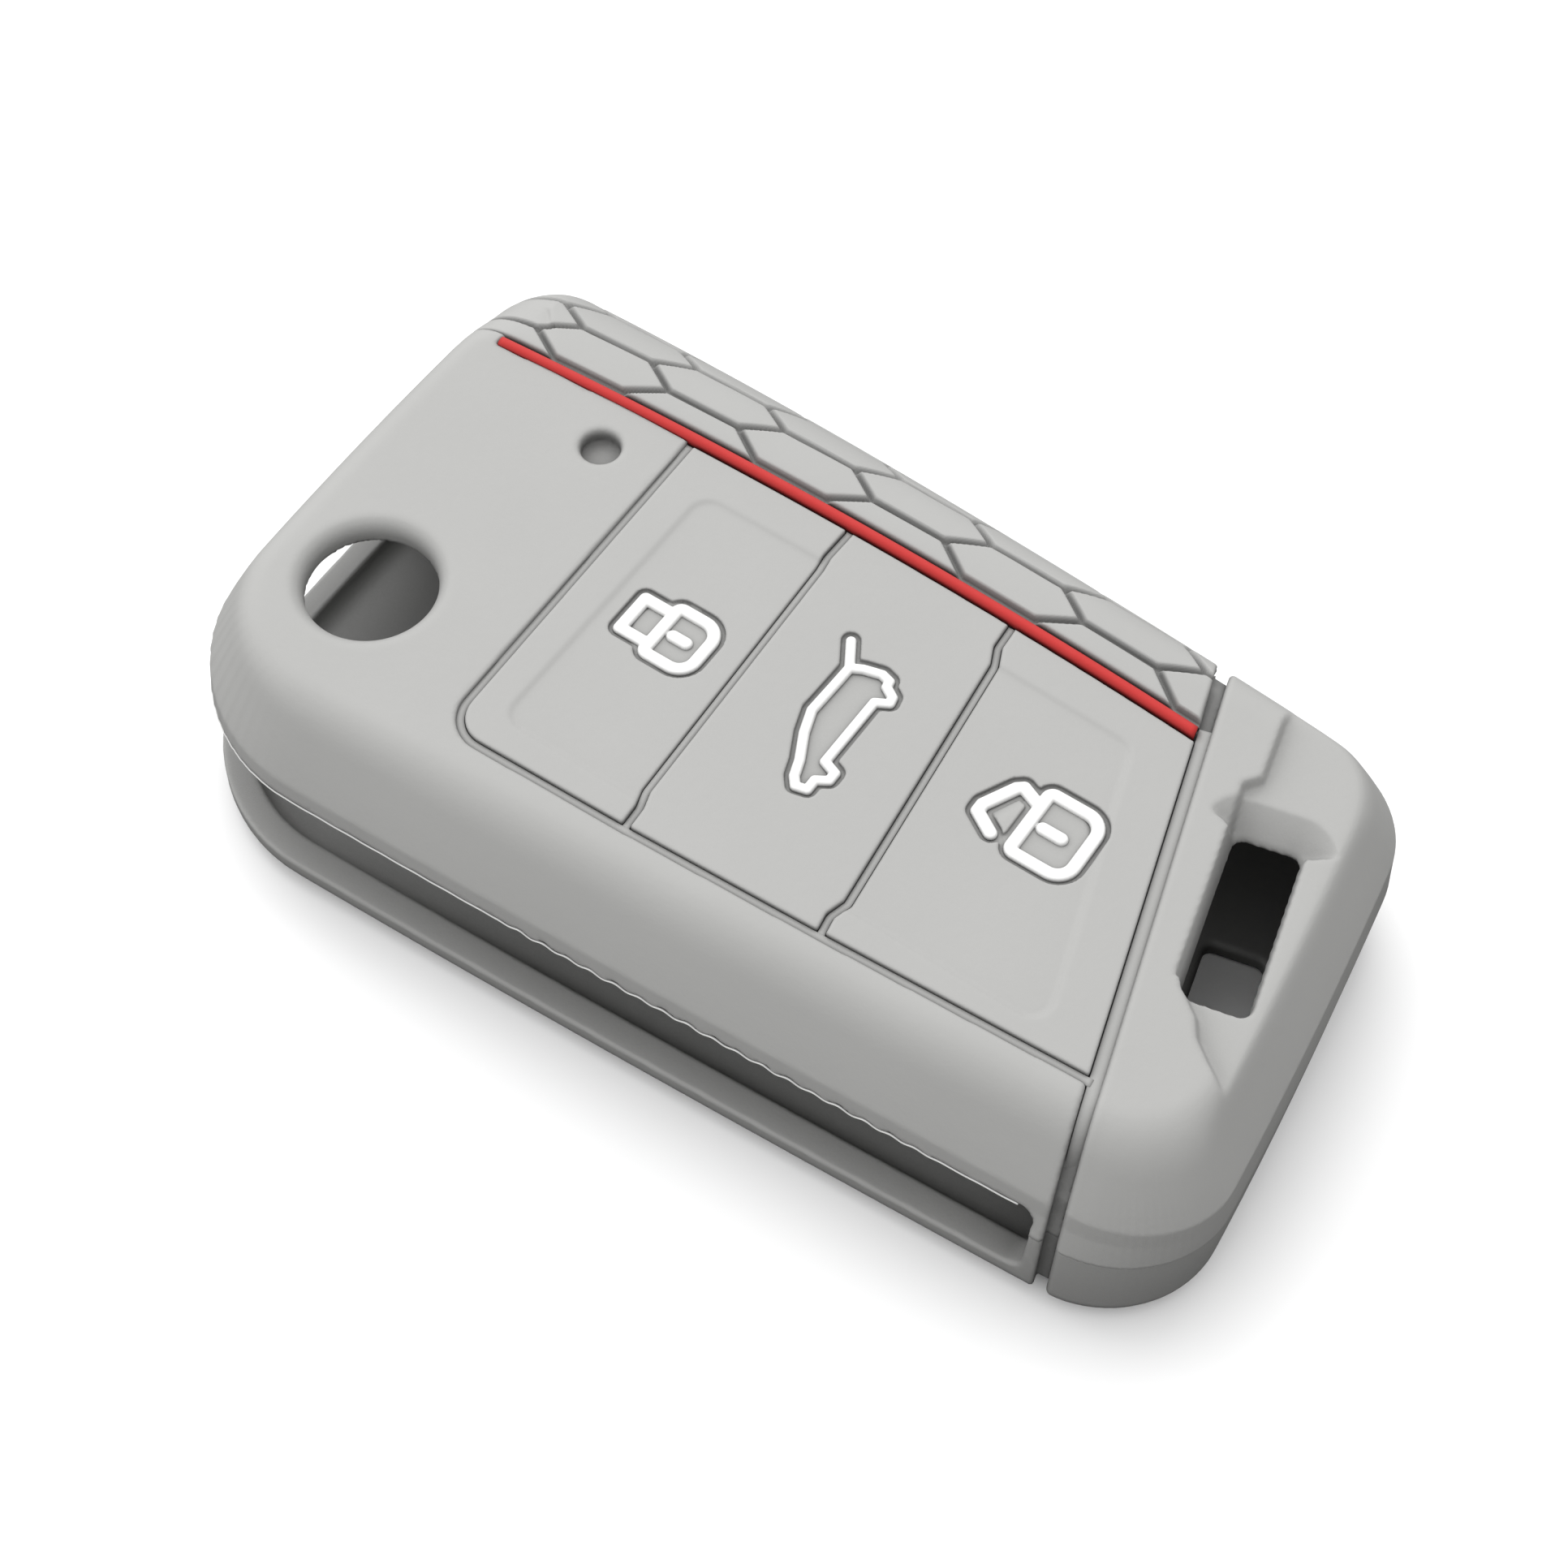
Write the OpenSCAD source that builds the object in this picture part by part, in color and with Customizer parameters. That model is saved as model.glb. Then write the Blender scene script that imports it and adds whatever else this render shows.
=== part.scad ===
// Silicone cover for a folding car key: two shell halves, a key-ring end, three push pads,
// their inlaid icons, a coloured stripe and a honeycomb side.
// +X runs to the key-ring end, +Y to the honeycomb side, +Z up out of the button face.

/* [Cover] */
// Length from the head end to the key-ring end
cover_length = 83; // [81:0.5:86]
// Width across the long sides at the head end
head_width = 49.2; // [48:0.2:51]
// Width across the long sides at the key-ring end
ring_width = 40.3; // [39:0.2:42]
// Height of the button face above the back face
face_z = 17.7; // [17:0.1:19]
// Height of the seam between the front and back halves
parting_z = 7.7; // [6.5:0.1:8.5]
// How far the key-ring end leans back towards the honeycomb side
ring_lean = 4.2; // [3:0.1:5.4]

/* [Walls] */
// Thickness of the side walls
side_wall = 1.8; // [1.5:0.1:2.2]
// Thickness of the button face
face_wall = 2; // [1.8:0.1:2.3]
// Thickness of the back
back_wall = 1.6; // [1.3:0.1:2]
// Radius of the rounded edge round the back
back_round = 2; // [1.4:0.1:2.6]
// How far the back half stands in from the front half at the seam
seam_step = 0.2; // [0.1:0.05:0.35]

/* [Blade slot] */
// Height of the slot's lower rim
rim_z = 2.9; // [2.6:0.1:3.4]
// Height of the slot's upper lip
lip_z = 10; // [9.5:0.1:10.6]
// Width of the post between the slot's end and the end groove
slot_post = 0.9; // [0.6:0.1:2.4]
// Where the slot ends on the head end, as a share of half the width
slot_head_share = 0.203; // [0.08:0.01:0.32]
// Corner radius of the slot's ends
slot_corner = 1.2; // [0.8:0.1:2.4]

/* [End groove] */
// Where the groove crosses the middle of the cover, as a share of half the length
groove_share = 0.653; // [0.641:0.002:0.665]
// Angle of the groove from square, in degrees
groove_angle = 15.6; // [14:0.2:17]
// Width of the groove round the cover
groove_width = 0.9; // [0.6:0.1:1.1]
// Depth of the groove round the cover, and thickness of the honeycomb panel
groove_depth = 0.9; // [0.7:0.05:1.1]

/* [Button pads] */
// How far a pad goes down when it is pressed
pad_travel = 0.5; // [0.3:0.05:0.6]
// Thickness of a pad's plate
pad_thickness = 0.65; // [0.55:0.05:0.75]
// Width of the grooves between and round the pads
pad_groove = 0.6; // [0.4:0.05:0.8]
// Radius of the plunger under a pad
plunger_radius = 3; // [2.5:0.1:3.5]
// How far a plunger reaches below the button face's inner side
plunger_reach = 0.5; // [0.3:0.1:0.8]
// Clearance round a plunger in its bore
plunger_clearance = 0.3; // [0.2:0.05:0.5]
// Corner radius at the foot of the lock pad
pad_corner = 2.6; // [1:0.1:3]
// Depth of the dish in the two outer pads
dish_depth = 0.15; // [0.1:0.05:0.2]

/* [Holes] */
// Radius of the hole for the key's flip button
flip_radius = 4.7; // [4.3:0.1:4.8]
// Radius of the rounded rim round the flip-button hole
flip_rim = 1.2; // [0.9:0.1:1.3]
// Radius of the light recess
light_radius = 1.45; // [1.2:0.05:1.7]
// Depth of the light recess
light_depth = 1.3; // [1:0.1:1.5]
// Width of the key-ring slot
ring_slot_width = 4.4; // [3.8:0.1:4.8]
// Length of the key-ring slot
ring_slot_length = 13.2; // [11:0.2:14]
// Depth of the shelf round the key-ring slot
shelf_depth = 0.8; // [0.5:0.1:1]

/* [Stripe] */
// Width of the coloured stripe
stripe_width = 0.9; // [0.7:0.05:1.1]
// How far the stripe stands above the button face
stripe_rise = 0.2; // [0.1:0.05:0.3]
// Depth of the stripe's seat in the face
stripe_seat = 0.6; // [0.4:0.05:0.8]
// Gap between the stripe and what lies on each side of it
stripe_gap = 0.25; // [0.15:0.05:0.35]

/* [Icons] */
// Width of the strokes that draw the padlocks
icon_stroke = 1; // [0.8:0.05:1.1]
// Width of the strokes that draw the car
car_stroke = 0.78; // [0.6:0.02:0.84]
// Length of the car
car_length = 10.7; // [9.8:0.1:11.2]
// Height of the car
car_height = 4.1; // [3.8:0.1:4.4]
// Depth of an icon's pocket in its pad
icon_seat = 0.3; // [0.2:0.05:0.4]
// How far an icon stands above its pad
icon_rise = 0.05; // [0.01:0.01:0.15]
// Clearance between an icon and the wall of its pocket
icon_clearance = 0.12; // [0.08:0.01:0.18]

/* [Honeycomb] */
// Length of a cell's long side
cell_side = 6; // [5.6:0.1:6.6]
// How far a cell's pointed ends reach past its long sides
cell_tip = 2.8; // [2.4:0.1:3.1]
// Width of a cell across its long sides
cell_width = 3.8; // [3.6:0.1:4.2]
// Width of the grooves between the cells
cell_groove = 0.42; // [0.3:0.02:0.5]
// Depth of the grooves between the cells
cell_depth = 0.4; // [0.25:0.05:0.5]

/* [Hidden] */
$fn = 48;

silicone_grey = [0.74, 0.74, 0.73];
stripe_red = [0.84, 0.25, 0.23];
icon_white = [0.97, 0.97, 0.97];

// Overrun of a cutting tool past what it cuts, and its reach across the whole cover
over = 1;
reach = cover_length;
half_length = cover_length / 2;
half_width = head_width / 2;
groove_x = groove_share * half_length;
slot_end_x = groove_x + ring_width / 2 * tan(groove_angle) - slot_post;
slot_end_y = slot_head_share * half_width;

// Widest level of the cover: four corners, the bow of each side and the corner radii,
// in the order head end and blade side, ring end and blade side, ring end and far side,
// head end and far side
side_shift = 0.485;
blade_head_inset = 1.57;
far_head_inset = 0.37;
ring_overhang = 0.47;
near_bow = 0.6;
far_bow = 2.2;
head_bow = 1;
ring_bow = 0.8;
outline_radii = [13, 8, 6.8, 5.5];
outline_corners = [
    [-half_length + blade_head_inset, -half_width - side_shift],
    [half_length + ring_overhang, -ring_width / 2 - side_shift],
    [half_length + ring_overhang - ring_lean, ring_width / 2 - side_shift],
    [-half_length + far_head_inset, half_width - side_shift]];
corner_steps = 9;
side_steps = [8, 5, 8, 5];
side_bulge = 0.4;

// Flat of the button face: how far it lies inside the widest level
flat_radii = [8, 5, 4.6, 3];
flat_inset_head = 4.3;
flat_inset_ring = 4.4;
flat_inset_blade = 6.4;
flat_inset_far = 10.4;
flat_inset_far_ring = 4.4;
flat_corners = [
    outline_corners[0] + [flat_inset_head, flat_inset_blade],
    outline_corners[1] + [-flat_inset_ring, flat_inset_blade],
    outline_corners[2] + [-flat_inset_ring, -flat_inset_far_ring],
    outline_corners[3] + [flat_inset_head, -flat_inset_far]];

// Upright profile of the front half: how far the wall stands in at the seam, at the lip and at
// the crease above it, and how much more it does so on the blade side
crease_share = 0.195;
crease_z = lip_z + crease_share * (face_z - lip_z);
lip_inset = 0.25;
crease_inset = 0.6;
seam_blade_inset = 0.45;
lip_blade_inset = 0.95;
crease_blade_inset = 1.4;
roll_power = 2.2;
far_roll_power = 0.6;
roll_shares = [0.08, 0.18, 0.3, 0.45, 0.62, 0.8, 1];
inner_round = 1.5;
round_steps = 4;

// Stripe: an arc of a large circle with its crown a little towards the head end. The crown's
// distance from the far side is fixed, so that the honeycomb side keeps its width
stripe_radius = 416;
stripe_crown_share = -0.2723;
stripe_crown_inset = 10.97;
stripe_start_share = -0.858;
stripe_sweep = 10;
stripe_fn = 720;
bead_fn = 12;
seat_lap = 0.05;
stripe_crown = [stripe_crown_share * half_length, half_width - stripe_crown_inset];
stripe_centre = stripe_crown - [0, stripe_radius];
stripe_start_x = stripe_start_share * half_length;
stripe_start_angle = acos((stripe_start_x - stripe_centre[0]) / stripe_radius);

// Grooves between the pads, from the stripe to the foot, as shares of half the length and width
divider_1_shares = [[-0.4446, 0.61], [-0.4265, -0.654]];
divider_2_shares = [[-0.111, 0.61], [-0.1145, 0.415], [-0.11, 0.366],
    [-0.089, -0.508], [-0.0795, -0.561], [-0.077, -0.638]];
divider_3_shares = [[0.213, 0.61], [0.219, 0.427], [0.234, 0.37],
    [0.287, -0.488], [0.277, -0.545], [0.283, -0.61]];
foot_end_share = [0.743, -0.565];
lock_dish_shares = [[-0.361, 0.394], [-0.361, -0.545], [0, -0.545], [0, 0.394]];
unlock_dish_shares = [[0.1, 0.38], [0.1, -0.506], [0.652, -0.506], [0.5, 0.355]];
dish_corner = 1.5;
lock_place_share = [-0.2355, -0.05];
trunk_place_share = [0.088, -0.05];
unlock_place_share = [0.47, -0.006];

// Padlocks: body and shackle, measured over the middle of their strokes
lock_body = [3.5, 4.4];
lock_shackle = [2.4, 3];
unlock_body = [4.2, 5.3];
unlock_shackle = [3.3, 4];
body_round = 1.3;
body_inner_round = 0.4;
body_steps = 5;
stroke_fn = 16;
bar_share = 0.45;
car_outline_shares = [[-0.463, 0.425], [-0.256, 0.467], [0.061, 0.5], [0.232, 0.481],
    [0.256, 0.435], [0.451, 0.388], [0.476, 0.341], [0.256, 0.294], [0.244, -0.248],
    [0.5, -0.285], [0.5, -0.35], [0.305, -0.397], [0.305, -0.481], [0.11, -0.5],
    [-0.012, -0.444], [-0.11, -0.332], [-0.354, -0.145], [-0.5, 0.023], [-0.476, 0.257]];
tailgate_shares = [[-0.463, 0.425], [-0.744, 0.603]];
open_shackle_shares = [[0.1, 0.36], [0.5, 0.5], [0.62, 0.42], [0.98, -0.16], [0.98, -0.32],
    [0.5, -0.56]];

// Shelf round the key-ring slot, as shares of half the length and width
shelf_shares = [[0.675, 1.1], [0.677, 0.67], [0.703, 0.47], [0.683, 0.424], [0.706, 0.28],
    [0.785, -0.2], [0.829, -0.256], [0.848, -0.305], [0.88, -0.346], [0.916, -0.386],
    [0.988, -0.427], [1.1, -0.44], [1.1, 1.1]];
ring_slot_share = [0.8, 0.073];
ring_slot_angle = 13;
ring_slot_corner = 0.7;
flip_inset = 11.95;
flip_side_share = -0.386;
flip_place = [-half_length + flip_inset, flip_side_share * half_width];
light_share = [-0.568, 0.37];

// Honeycomb: where the first whole cell beside the stripe lies, how far its row lies beyond the
// stripe, the step from cell to cell along a row, and how many rows and columns fill the panel
first_cell_share = -0.6843;
first_row_rise = 2.7;
first_cell_x = first_cell_share * half_length;
cell_pitch = 2 * (cell_side + cell_tip);
cell_corner = 0.3;
cell_corner_steps = 2;
cell_columns = ceil((groove_x - first_cell_x) / cell_pitch);
cell_rows = ceil((stripe_crown_inset - first_row_rise) / cell_width);
grip_low_z = 9;

// Height of the underside of the pads' plates, and of the floor of their recess, which a pressed
// pad doesn't reach
pad_spare = 0.15;
pad_under_z = face_z - pad_thickness;
recess_z = pad_under_z - pad_travel - pad_spare;
plunger_end_z = face_z - face_wall - plunger_reach;

function unit(v) = v / norm(v);
function lerp(a, b, t) = a + (b - a) * t;
function on_face(share) = [share[0] * half_length, share[1] * half_width];
function reversed(list) = [for (i = [len(list) - 1 : -1 : 0]) list[i]];

// Points along the arc that rounds corner b, between the sides to a and to c
function corner_arc(a, b, c, r, steps) =
    let (
        u = unit(a - b),
        v = unit(c - b),
        half = acos(u * v) / 2,
        middle = b + unit(u + v) * r / sin(half),
        start = b + u * r / tan(half) - middle,
        first = atan2(start[1], start[0]),
        sweep = 180 - 2 * half
    )
    [for (k = [0 : steps]) middle + r * [cos(first + sweep * k / steps), sin(first + sweep * k / steps)]];

// Closed shape through corners, each rounded by its own radius
function rounded(corners, radii, steps) =
    let (n = len(corners))
    [for (k = [0 : n - 1])
        each corner_arc(corners[(k + n - 1) % n], corners[k], corners[(k + 1) % n], radii[k], steps)];

// Four-sided outline with rounded corners. Its sides bulge a little, so that no three points lie
// in line, and every outline made here has the same point count
function rounded_quad(corners, radii) =
    let (arcs = [for (k = [0 : 3])
        corner_arc(corners[(k + 3) % 4], corners[k], corners[(k + 1) % 4], radii[k], corner_steps)])
    [for (k = [0 : 3])
        let (a = arcs[k][corner_steps], b = arcs[(k + 1) % 4][0], along = unit(b - a))
        each concat(arcs[k],
            [for (j = [1 : side_steps[k] - 1])
                let (t = j / side_steps[k])
                lerp(a, b, t) + side_bulge * t * (1 - t) * [along[1], -along[0]]])];

// Moves a point outwards, most in the middle of its side and not at all at the corners
function bowed(p) =
    let (
        u = p[0] / half_length,
        v = p[1] / half_width,
        end_bow = u > 0 ? ring_bow : -head_bow,
        side_bow = v > 0 ? far_bow : -near_bow
    )
    [p[0] + end_bow * u * u * (1 - v * v), p[1] + side_bow * v * v * (1 - u * u)];

outline = [for (p = rounded_quad(outline_corners, outline_radii)) bowed(p)];
flat = rounded_quad(flat_corners, flat_radii);
count = len(outline);
normals = [for (i = [0 : count - 1])
    let (t = unit(outline[(i + 1) % count] - outline[(i + count - 1) % count]))
    [t[1], -t[0]]];
blade_weights = [for (n = normals) pow(max(0, -n[1]), 2)];
far_weights = [for (n = normals) pow(max(0, n[1]), 2)];

// How far a point lies inside the widest level, negative outside it
function depth_inside(p) = min([for (i = [0 : count - 1])
    cross(unit(outline[(i + 1) % count] - outline[i]), p - outline[i])]);

// One level of a wall: the outline moved in by inset, and by more on the blade side
function level(inset, blade_inset, z) =
    [for (i = [0 : count - 1])
        let (p = outline[i] - normals[i] * (inset + blade_inset * blade_weights[i]))
        [p[0], p[1], z]];

// One level of the roll-off between the crease and the flat of the button face
function roll_level(crease, share, top_z) =
    [for (i = [0 : count - 1])
        let (
            power = roll_power + far_roll_power * far_weights[i],
            z = top_z - (top_z - crease[i][2]) * pow(1 - share, power),
            p = lerp([crease[i][0], crease[i][1]], flat[i], share)
        )
        [p[0], p[1], z]];

// The front half's surface, moved in by inset at the walls and down by drop at the top
function front_levels(inset, drop, crease_drop) =
    let (crease = level(inset + crease_inset, crease_blade_inset, crease_z - crease_drop))
    concat(
        [level(inset, seam_blade_inset, parting_z), level(inset + lip_inset, lip_blade_inset, lip_z), crease],
        [for (s = roll_shares) roll_level(crease, s, face_z - drop)]);

// The back half's outside, from the rounded edge of the back up to the seam
function back_outside(inset) =
    concat(
        [for (k = [0 : round_steps])
            let (a = 90 * k / round_steps)
            level(inset + seam_step + back_round * (1 - sin(a)), 0, inset + back_round * (1 - cos(a)))],
        [level(inset + seam_step, seam_blade_inset, parting_z)]);

// The back half's inside, from the seam down to the rounded edge of the floor
function back_inside() =
    concat(
        [level(side_wall, seam_blade_inset, parting_z)],
        [for (k = [round_steps : -1 : 0])
            let (a = 90 * k / round_steps)
            level(side_wall + seam_step + inner_round * (1 - sin(a)), 0,
                back_wall + inner_round * (1 - cos(a)))]);

// Closed solid through rings of equal point count
module skin(rings) {
    n = len(rings[0]);
    last = (len(rings) - 1) * n;
    sides = [for (k = [0 : len(rings) - 2], i = [0 : n - 1])
        let (a = k * n, b = a + n, j = (i + 1) % n)
        each [[a + i, b + i, b + j], [a + i, b + j, a + j]]];
    first_cap = [for (i = [0 : n - 1]) i];
    last_cap = [for (i = [n - 1 : -1 : 0]) last + i];
    polyhedron(points = [for (r = rings) each r], faces = concat([first_cap, last_cap], sides));
}

// Shell of the front half, from its inside to a surface that lies drop below the full one
module front_skin(inset, drop, crease_drop) {
    skin(concat(
        reversed(front_levels(side_wall, face_wall, side_wall / 2)),
        front_levels(inset, drop, crease_drop)));
}

module full_front() {
    front_skin(0, 0, 0);
}

module core_front() {
    front_skin(groove_depth, groove_depth, groove_depth / 2);
}

module back_skin(inset) {
    skin(concat(back_outside(inset), back_inside()));
}

// Blocks that divide the cover at the groove: before it, in it and beyond it
module groove_block(from, to) {
    translate([groove_x, 0, 0])
        rotate([0, 0, groove_angle])
            translate([from, -reach, -over])
                cube([to - from, 2 * reach, face_z + 2 * over]);
}

module before_groove() {
    groove_block(-2 * reach, 0);
}

module in_groove() {
    groove_block(0, groove_width);
}

module beyond_groove() {
    groove_block(groove_width, reach);
}

// Disc whose rim runs along the stripe, moved out by shift
module stripe_disc(shift, low, high) {
    translate([stripe_centre[0], stripe_centre[1], low])
        cylinder(r = stripe_radius + shift, h = high - low, $fn = stripe_fn);
}

// Space taken by the honeycomb side
module grip_block() {
    difference() {
        intersection() {
            before_groove();
            translate([-reach, 0, grip_low_z])
                cube([2 * reach, reach, face_z]);
        }
        stripe_disc(stripe_width / 2 + stripe_gap, 0, face_z + over);
    }
}

// Opening for the folding blade, round the head end and along the blade side
module slot_profile(end) {
    translate([-reach, rim_z])
        square([reach + end - slot_corner, lip_z - rim_z]);
    translate([0, rim_z + slot_corner])
        square([end, lip_z - rim_z - 2 * slot_corner]);
    for (z = [rim_z + slot_corner, lip_z - slot_corner])
        translate([end - slot_corner, z])
            circle(r = slot_corner);
}

module blade_slot() {
    translate([0, flat_corners[1][1], 0])
        rotate([90, 0, 0])
            linear_extrude(reach)
                slot_profile(slot_end_x);
    translate([flat_corners[3][0] - reach, 0, 0])
        rotate([90, 0, 90])
            linear_extrude(reach)
                slot_profile(slot_end_y);
}

// Outline of the panel that holds the pads, along the middle of its grooves
function divider(shares) = [for (s = shares) on_face(s)];
panel_foot = [on_face(divider_1_shares[1]), divider(divider_2_shares)[5], divider(divider_3_shares)[5],
    on_face(foot_end_share)];
panel_top_y = divider_1_shares[0][1] * half_width;
function groove_point(y) = [groove_x + pad_groove / 2 - y * tan(groove_angle), y];
foot_arc = corner_arc(on_face(divider_1_shares[0]), panel_foot[0], panel_foot[1], pad_corner, corner_steps);
lock_area = concat([on_face(divider_1_shares[0])], foot_arc, reversed(divider(divider_2_shares)));
trunk_area = concat(divider(divider_2_shares), reversed(divider(divider_3_shares)));
unlock_area = concat(divider(divider_3_shares), [groove_point(panel_foot[3][1]), groove_point(panel_top_y)]);
panel_area = concat([on_face(divider_1_shares[0])], foot_arc, [panel_foot[1], panel_foot[2]],
    [groove_point(panel_foot[3][1]), groove_point(panel_top_y)]);

// Recess that the pads lie in. It laps a little over the stripe's seat, so that the two open into each other
module pad_recess() {
    intersection() {
        translate([0, 0, recess_z])
            linear_extrude(face_z)
                offset(delta = pad_groove / 2)
                    polygon(panel_area);
        stripe_disc(seat_lap - stripe_width / 2, 0, 2 * face_z);
    }
}

// Plate of a pad with its plunger, before the icon's pocket is cut
module pad_blank(area, place) {
    intersection() {
        translate([0, 0, pad_under_z])
            linear_extrude(pad_thickness)
                offset(delta = -pad_groove / 2)
                    polygon(area);
        stripe_disc(-stripe_width / 2 - stripe_gap, 0, face_z + over);
    }
    translate([place[0], place[1], plunger_end_z])
        cylinder(r = plunger_radius, h = pad_under_z + pad_thickness / 2 - plunger_end_z);
}

// Shallow dish in the top of a pad, open to the groove beside it
module dish(shares) {
    translate([0, 0, face_z - dish_depth])
        linear_extrude(dish_depth + over)
            offset(r = dish_corner)
                offset(delta = -dish_corner)
                    polygon([for (s = shares) on_face(s)]);
}

module plunger_bore(place) {
    translate([place[0], place[1], 0])
        cylinder(r = plunger_radius + plunger_clearance, h = face_z);
}

// Line of even width along the edge of a closed shape
module outline_stroke(width) {
    difference() {
        offset(r = width / 2, $fn = stroke_fn) children();
        offset(delta = -width / 2) children();
    }
}

// Line of even width through points
module path_stroke(points, width) {
    for (i = [0 : len(points) - 2])
        hull() {
            translate(points[i]) circle(d = width, $fn = stroke_fn);
            translate(points[i + 1]) circle(d = width, $fn = stroke_fn);
        }
}

// Padlock body: square towards the shackle, round towards the key-ring end
module lock_body_area(size) {
    half = size[1] / 2;
    polygon(rounded([[0, -half], [size[0], -half], [size[0], half], [0, half]],
        [body_inner_round, body_round, body_round, body_inner_round], body_steps));
}

module lock_shackle_area() {
    translate([-lock_shackle[0], -lock_shackle[1] / 2])
        square(lock_shackle);
}

module open_shackle_line() {
    path_stroke([for (s = open_shackle_shares)
        [-s[0] * unlock_shackle[0], s[1] * unlock_shackle[1]]], icon_stroke);
}

module car_area() {
    polygon([for (s = car_outline_shares) [s[0] * car_height, s[1] * car_length]]);
}

module tailgate_line() {
    path_stroke([for (s = tailgate_shares) [s[0] * car_height, s[1] * car_length]], car_stroke);
}

// Strokes of a padlock's body and of the bar inside it
module lock_body_lines(size) {
    bar = size[0] * bar_share - icon_stroke / 2;
    outline_stroke(icon_stroke) lock_body_area(size);
    path_stroke([[icon_stroke, 0], [icon_stroke + bar, 0]], icon_stroke);
}

module lock_shape() {
    lock_body_lines(lock_body);
    outline_stroke(icon_stroke) lock_shackle_area();
}

module unlock_shape() {
    lock_body_lines(unlock_body);
    open_shackle_line();
}

module trunk_shape() {
    outline_stroke(car_stroke) car_area();
    tailgate_line();
}

// Strokes of an icon as a solid, standing up from its pocket's floor. The drop is how far the pad's
// top lies below the button face there
module icon_solid(drop) {
    translate([0, 0, face_z - drop - icon_seat])
        linear_extrude(icon_seat + icon_rise)
            children();
}

// Pocket for an icon: the areas given and all that lies within half a stroke of them
module icon_pocket(drop, width) {
    translate([0, 0, face_z - drop - icon_seat])
        linear_extrude(icon_seat + over)
            offset(r = width / 2 + icon_clearance, $fn = stroke_fn)
                children();
}

module line_pocket(drop) {
    translate([0, 0, face_z - drop - icon_seat])
        linear_extrude(icon_seat + over)
            offset(delta = icon_clearance)
                children();
}

lock_place = on_face(lock_place_share);
trunk_place = on_face(trunk_place_share);
unlock_place = on_face(unlock_place_share);

module flip_hole() {
    translate(flip_place) {
        cylinder(r = flip_radius, h = face_z + over);
        translate([0, 0, face_z - flip_rim])
            rotate_extrude()
                difference() {
                    square([flip_radius + flip_rim, flip_rim + over]);
                    translate([flip_radius + flip_rim, 0])
                        circle(r = flip_rim);
                }
    }
}

module light_recess() {
    translate([light_share[0] * half_length, light_share[1] * half_width, face_z - light_depth])
        cylinder(r = light_radius, h = light_depth + over);
}

// Sweeps a profile along the stripe from its end near the head, with the seat's floor at zero
module along_stripe() {
    translate([stripe_centre[0], stripe_centre[1], face_z - stripe_seat])
        rotate([0, 0, stripe_start_angle])
            mirror([0, 1, 0])
                rotate_extrude(angle = stripe_sweep, $fn = stripe_fn)
                    children();
}

module stripe_seat_cut() {
    along_stripe()
        translate([stripe_radius - stripe_width / 2, 0])
            square([stripe_width + over, stripe_seat + over]);
}

module ring_slot() {
    translate([ring_slot_share[0] * half_length, ring_slot_share[1] * half_width, -over])
        rotate([0, 0, ring_slot_angle])
            linear_extrude(face_z + 2 * over)
                offset(r = ring_slot_corner)
                    square([ring_slot_width - 2 * ring_slot_corner,
                        ring_slot_length - 2 * ring_slot_corner], center = true);
}

// What lies above the shelf. Near the edges the face is lower than the shelf and stays as it is
module shelf_cut() {
    translate([0, 0, face_z - shelf_depth])
        linear_extrude(shelf_depth + over)
            polygon([for (s = shelf_shares) on_face(s)]);
}

module front_shell() {
    color(silicone_grey)
        difference() {
            union() {
                difference() {
                    intersection() {
                        full_front();
                        before_groove();
                    }
                    grip_block();
                }
                intersection() {
                    core_front();
                    union() {
                        in_groove();
                        grip_block();
                    }
                }
            }
            blade_slot();
            pad_recess();
            flip_hole();
            light_recess();
            stripe_seat_cut();
            plunger_bore(lock_place);
            plunger_bore(trunk_place);
            plunger_bore(unlock_place);
        }
}

module back_shell() {
    color(silicone_grey)
        difference() {
            union() {
                intersection() {
                    back_skin(0);
                    before_groove();
                }
                intersection() {
                    back_skin(groove_depth);
                    in_groove();
                }
            }
            blade_slot();
        }
}

module ring_cap_front() {
    color(silicone_grey)
        difference() {
            intersection() {
                full_front();
                beyond_groove();
            }
            shelf_cut();
            ring_slot();
        }
}

module ring_cap_back() {
    color(silicone_grey)
        difference() {
            intersection() {
                back_skin(0);
                beyond_groove();
            }
            ring_slot();
        }
}

module lock_pad() {
    color(silicone_grey)
        difference() {
            pad_blank(lock_area, lock_place);
            dish(lock_dish_shares);
            translate(lock_place)
                icon_pocket(dish_depth, icon_stroke) {
                    lock_body_area(lock_body);
                    lock_shackle_area();
                }
        }
}

module trunk_pad() {
    color(silicone_grey)
        difference() {
            pad_blank(trunk_area, trunk_place);
            translate(trunk_place) {
                icon_pocket(0, car_stroke) car_area();
                line_pocket(0) tailgate_line();
            }
        }
}

module unlock_pad() {
    color(silicone_grey)
        difference() {
            intersection() {
                pad_blank(unlock_area, unlock_place);
                before_groove();
            }
            dish(unlock_dish_shares);
            translate(unlock_place) {
                icon_pocket(dish_depth, icon_stroke) lock_body_area(unlock_body);
                line_pocket(dish_depth) open_shackle_line();
            }
        }
}

module lock_icon() {
    color(icon_white)
        translate(lock_place) icon_solid(dish_depth) lock_shape();
}

module trunk_icon() {
    color(icon_white)
        translate(trunk_place) icon_solid(0) trunk_shape();
}

module unlock_icon() {
    color(icon_white)
        translate(unlock_place) icon_solid(dish_depth) unlock_shape();
}

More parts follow.
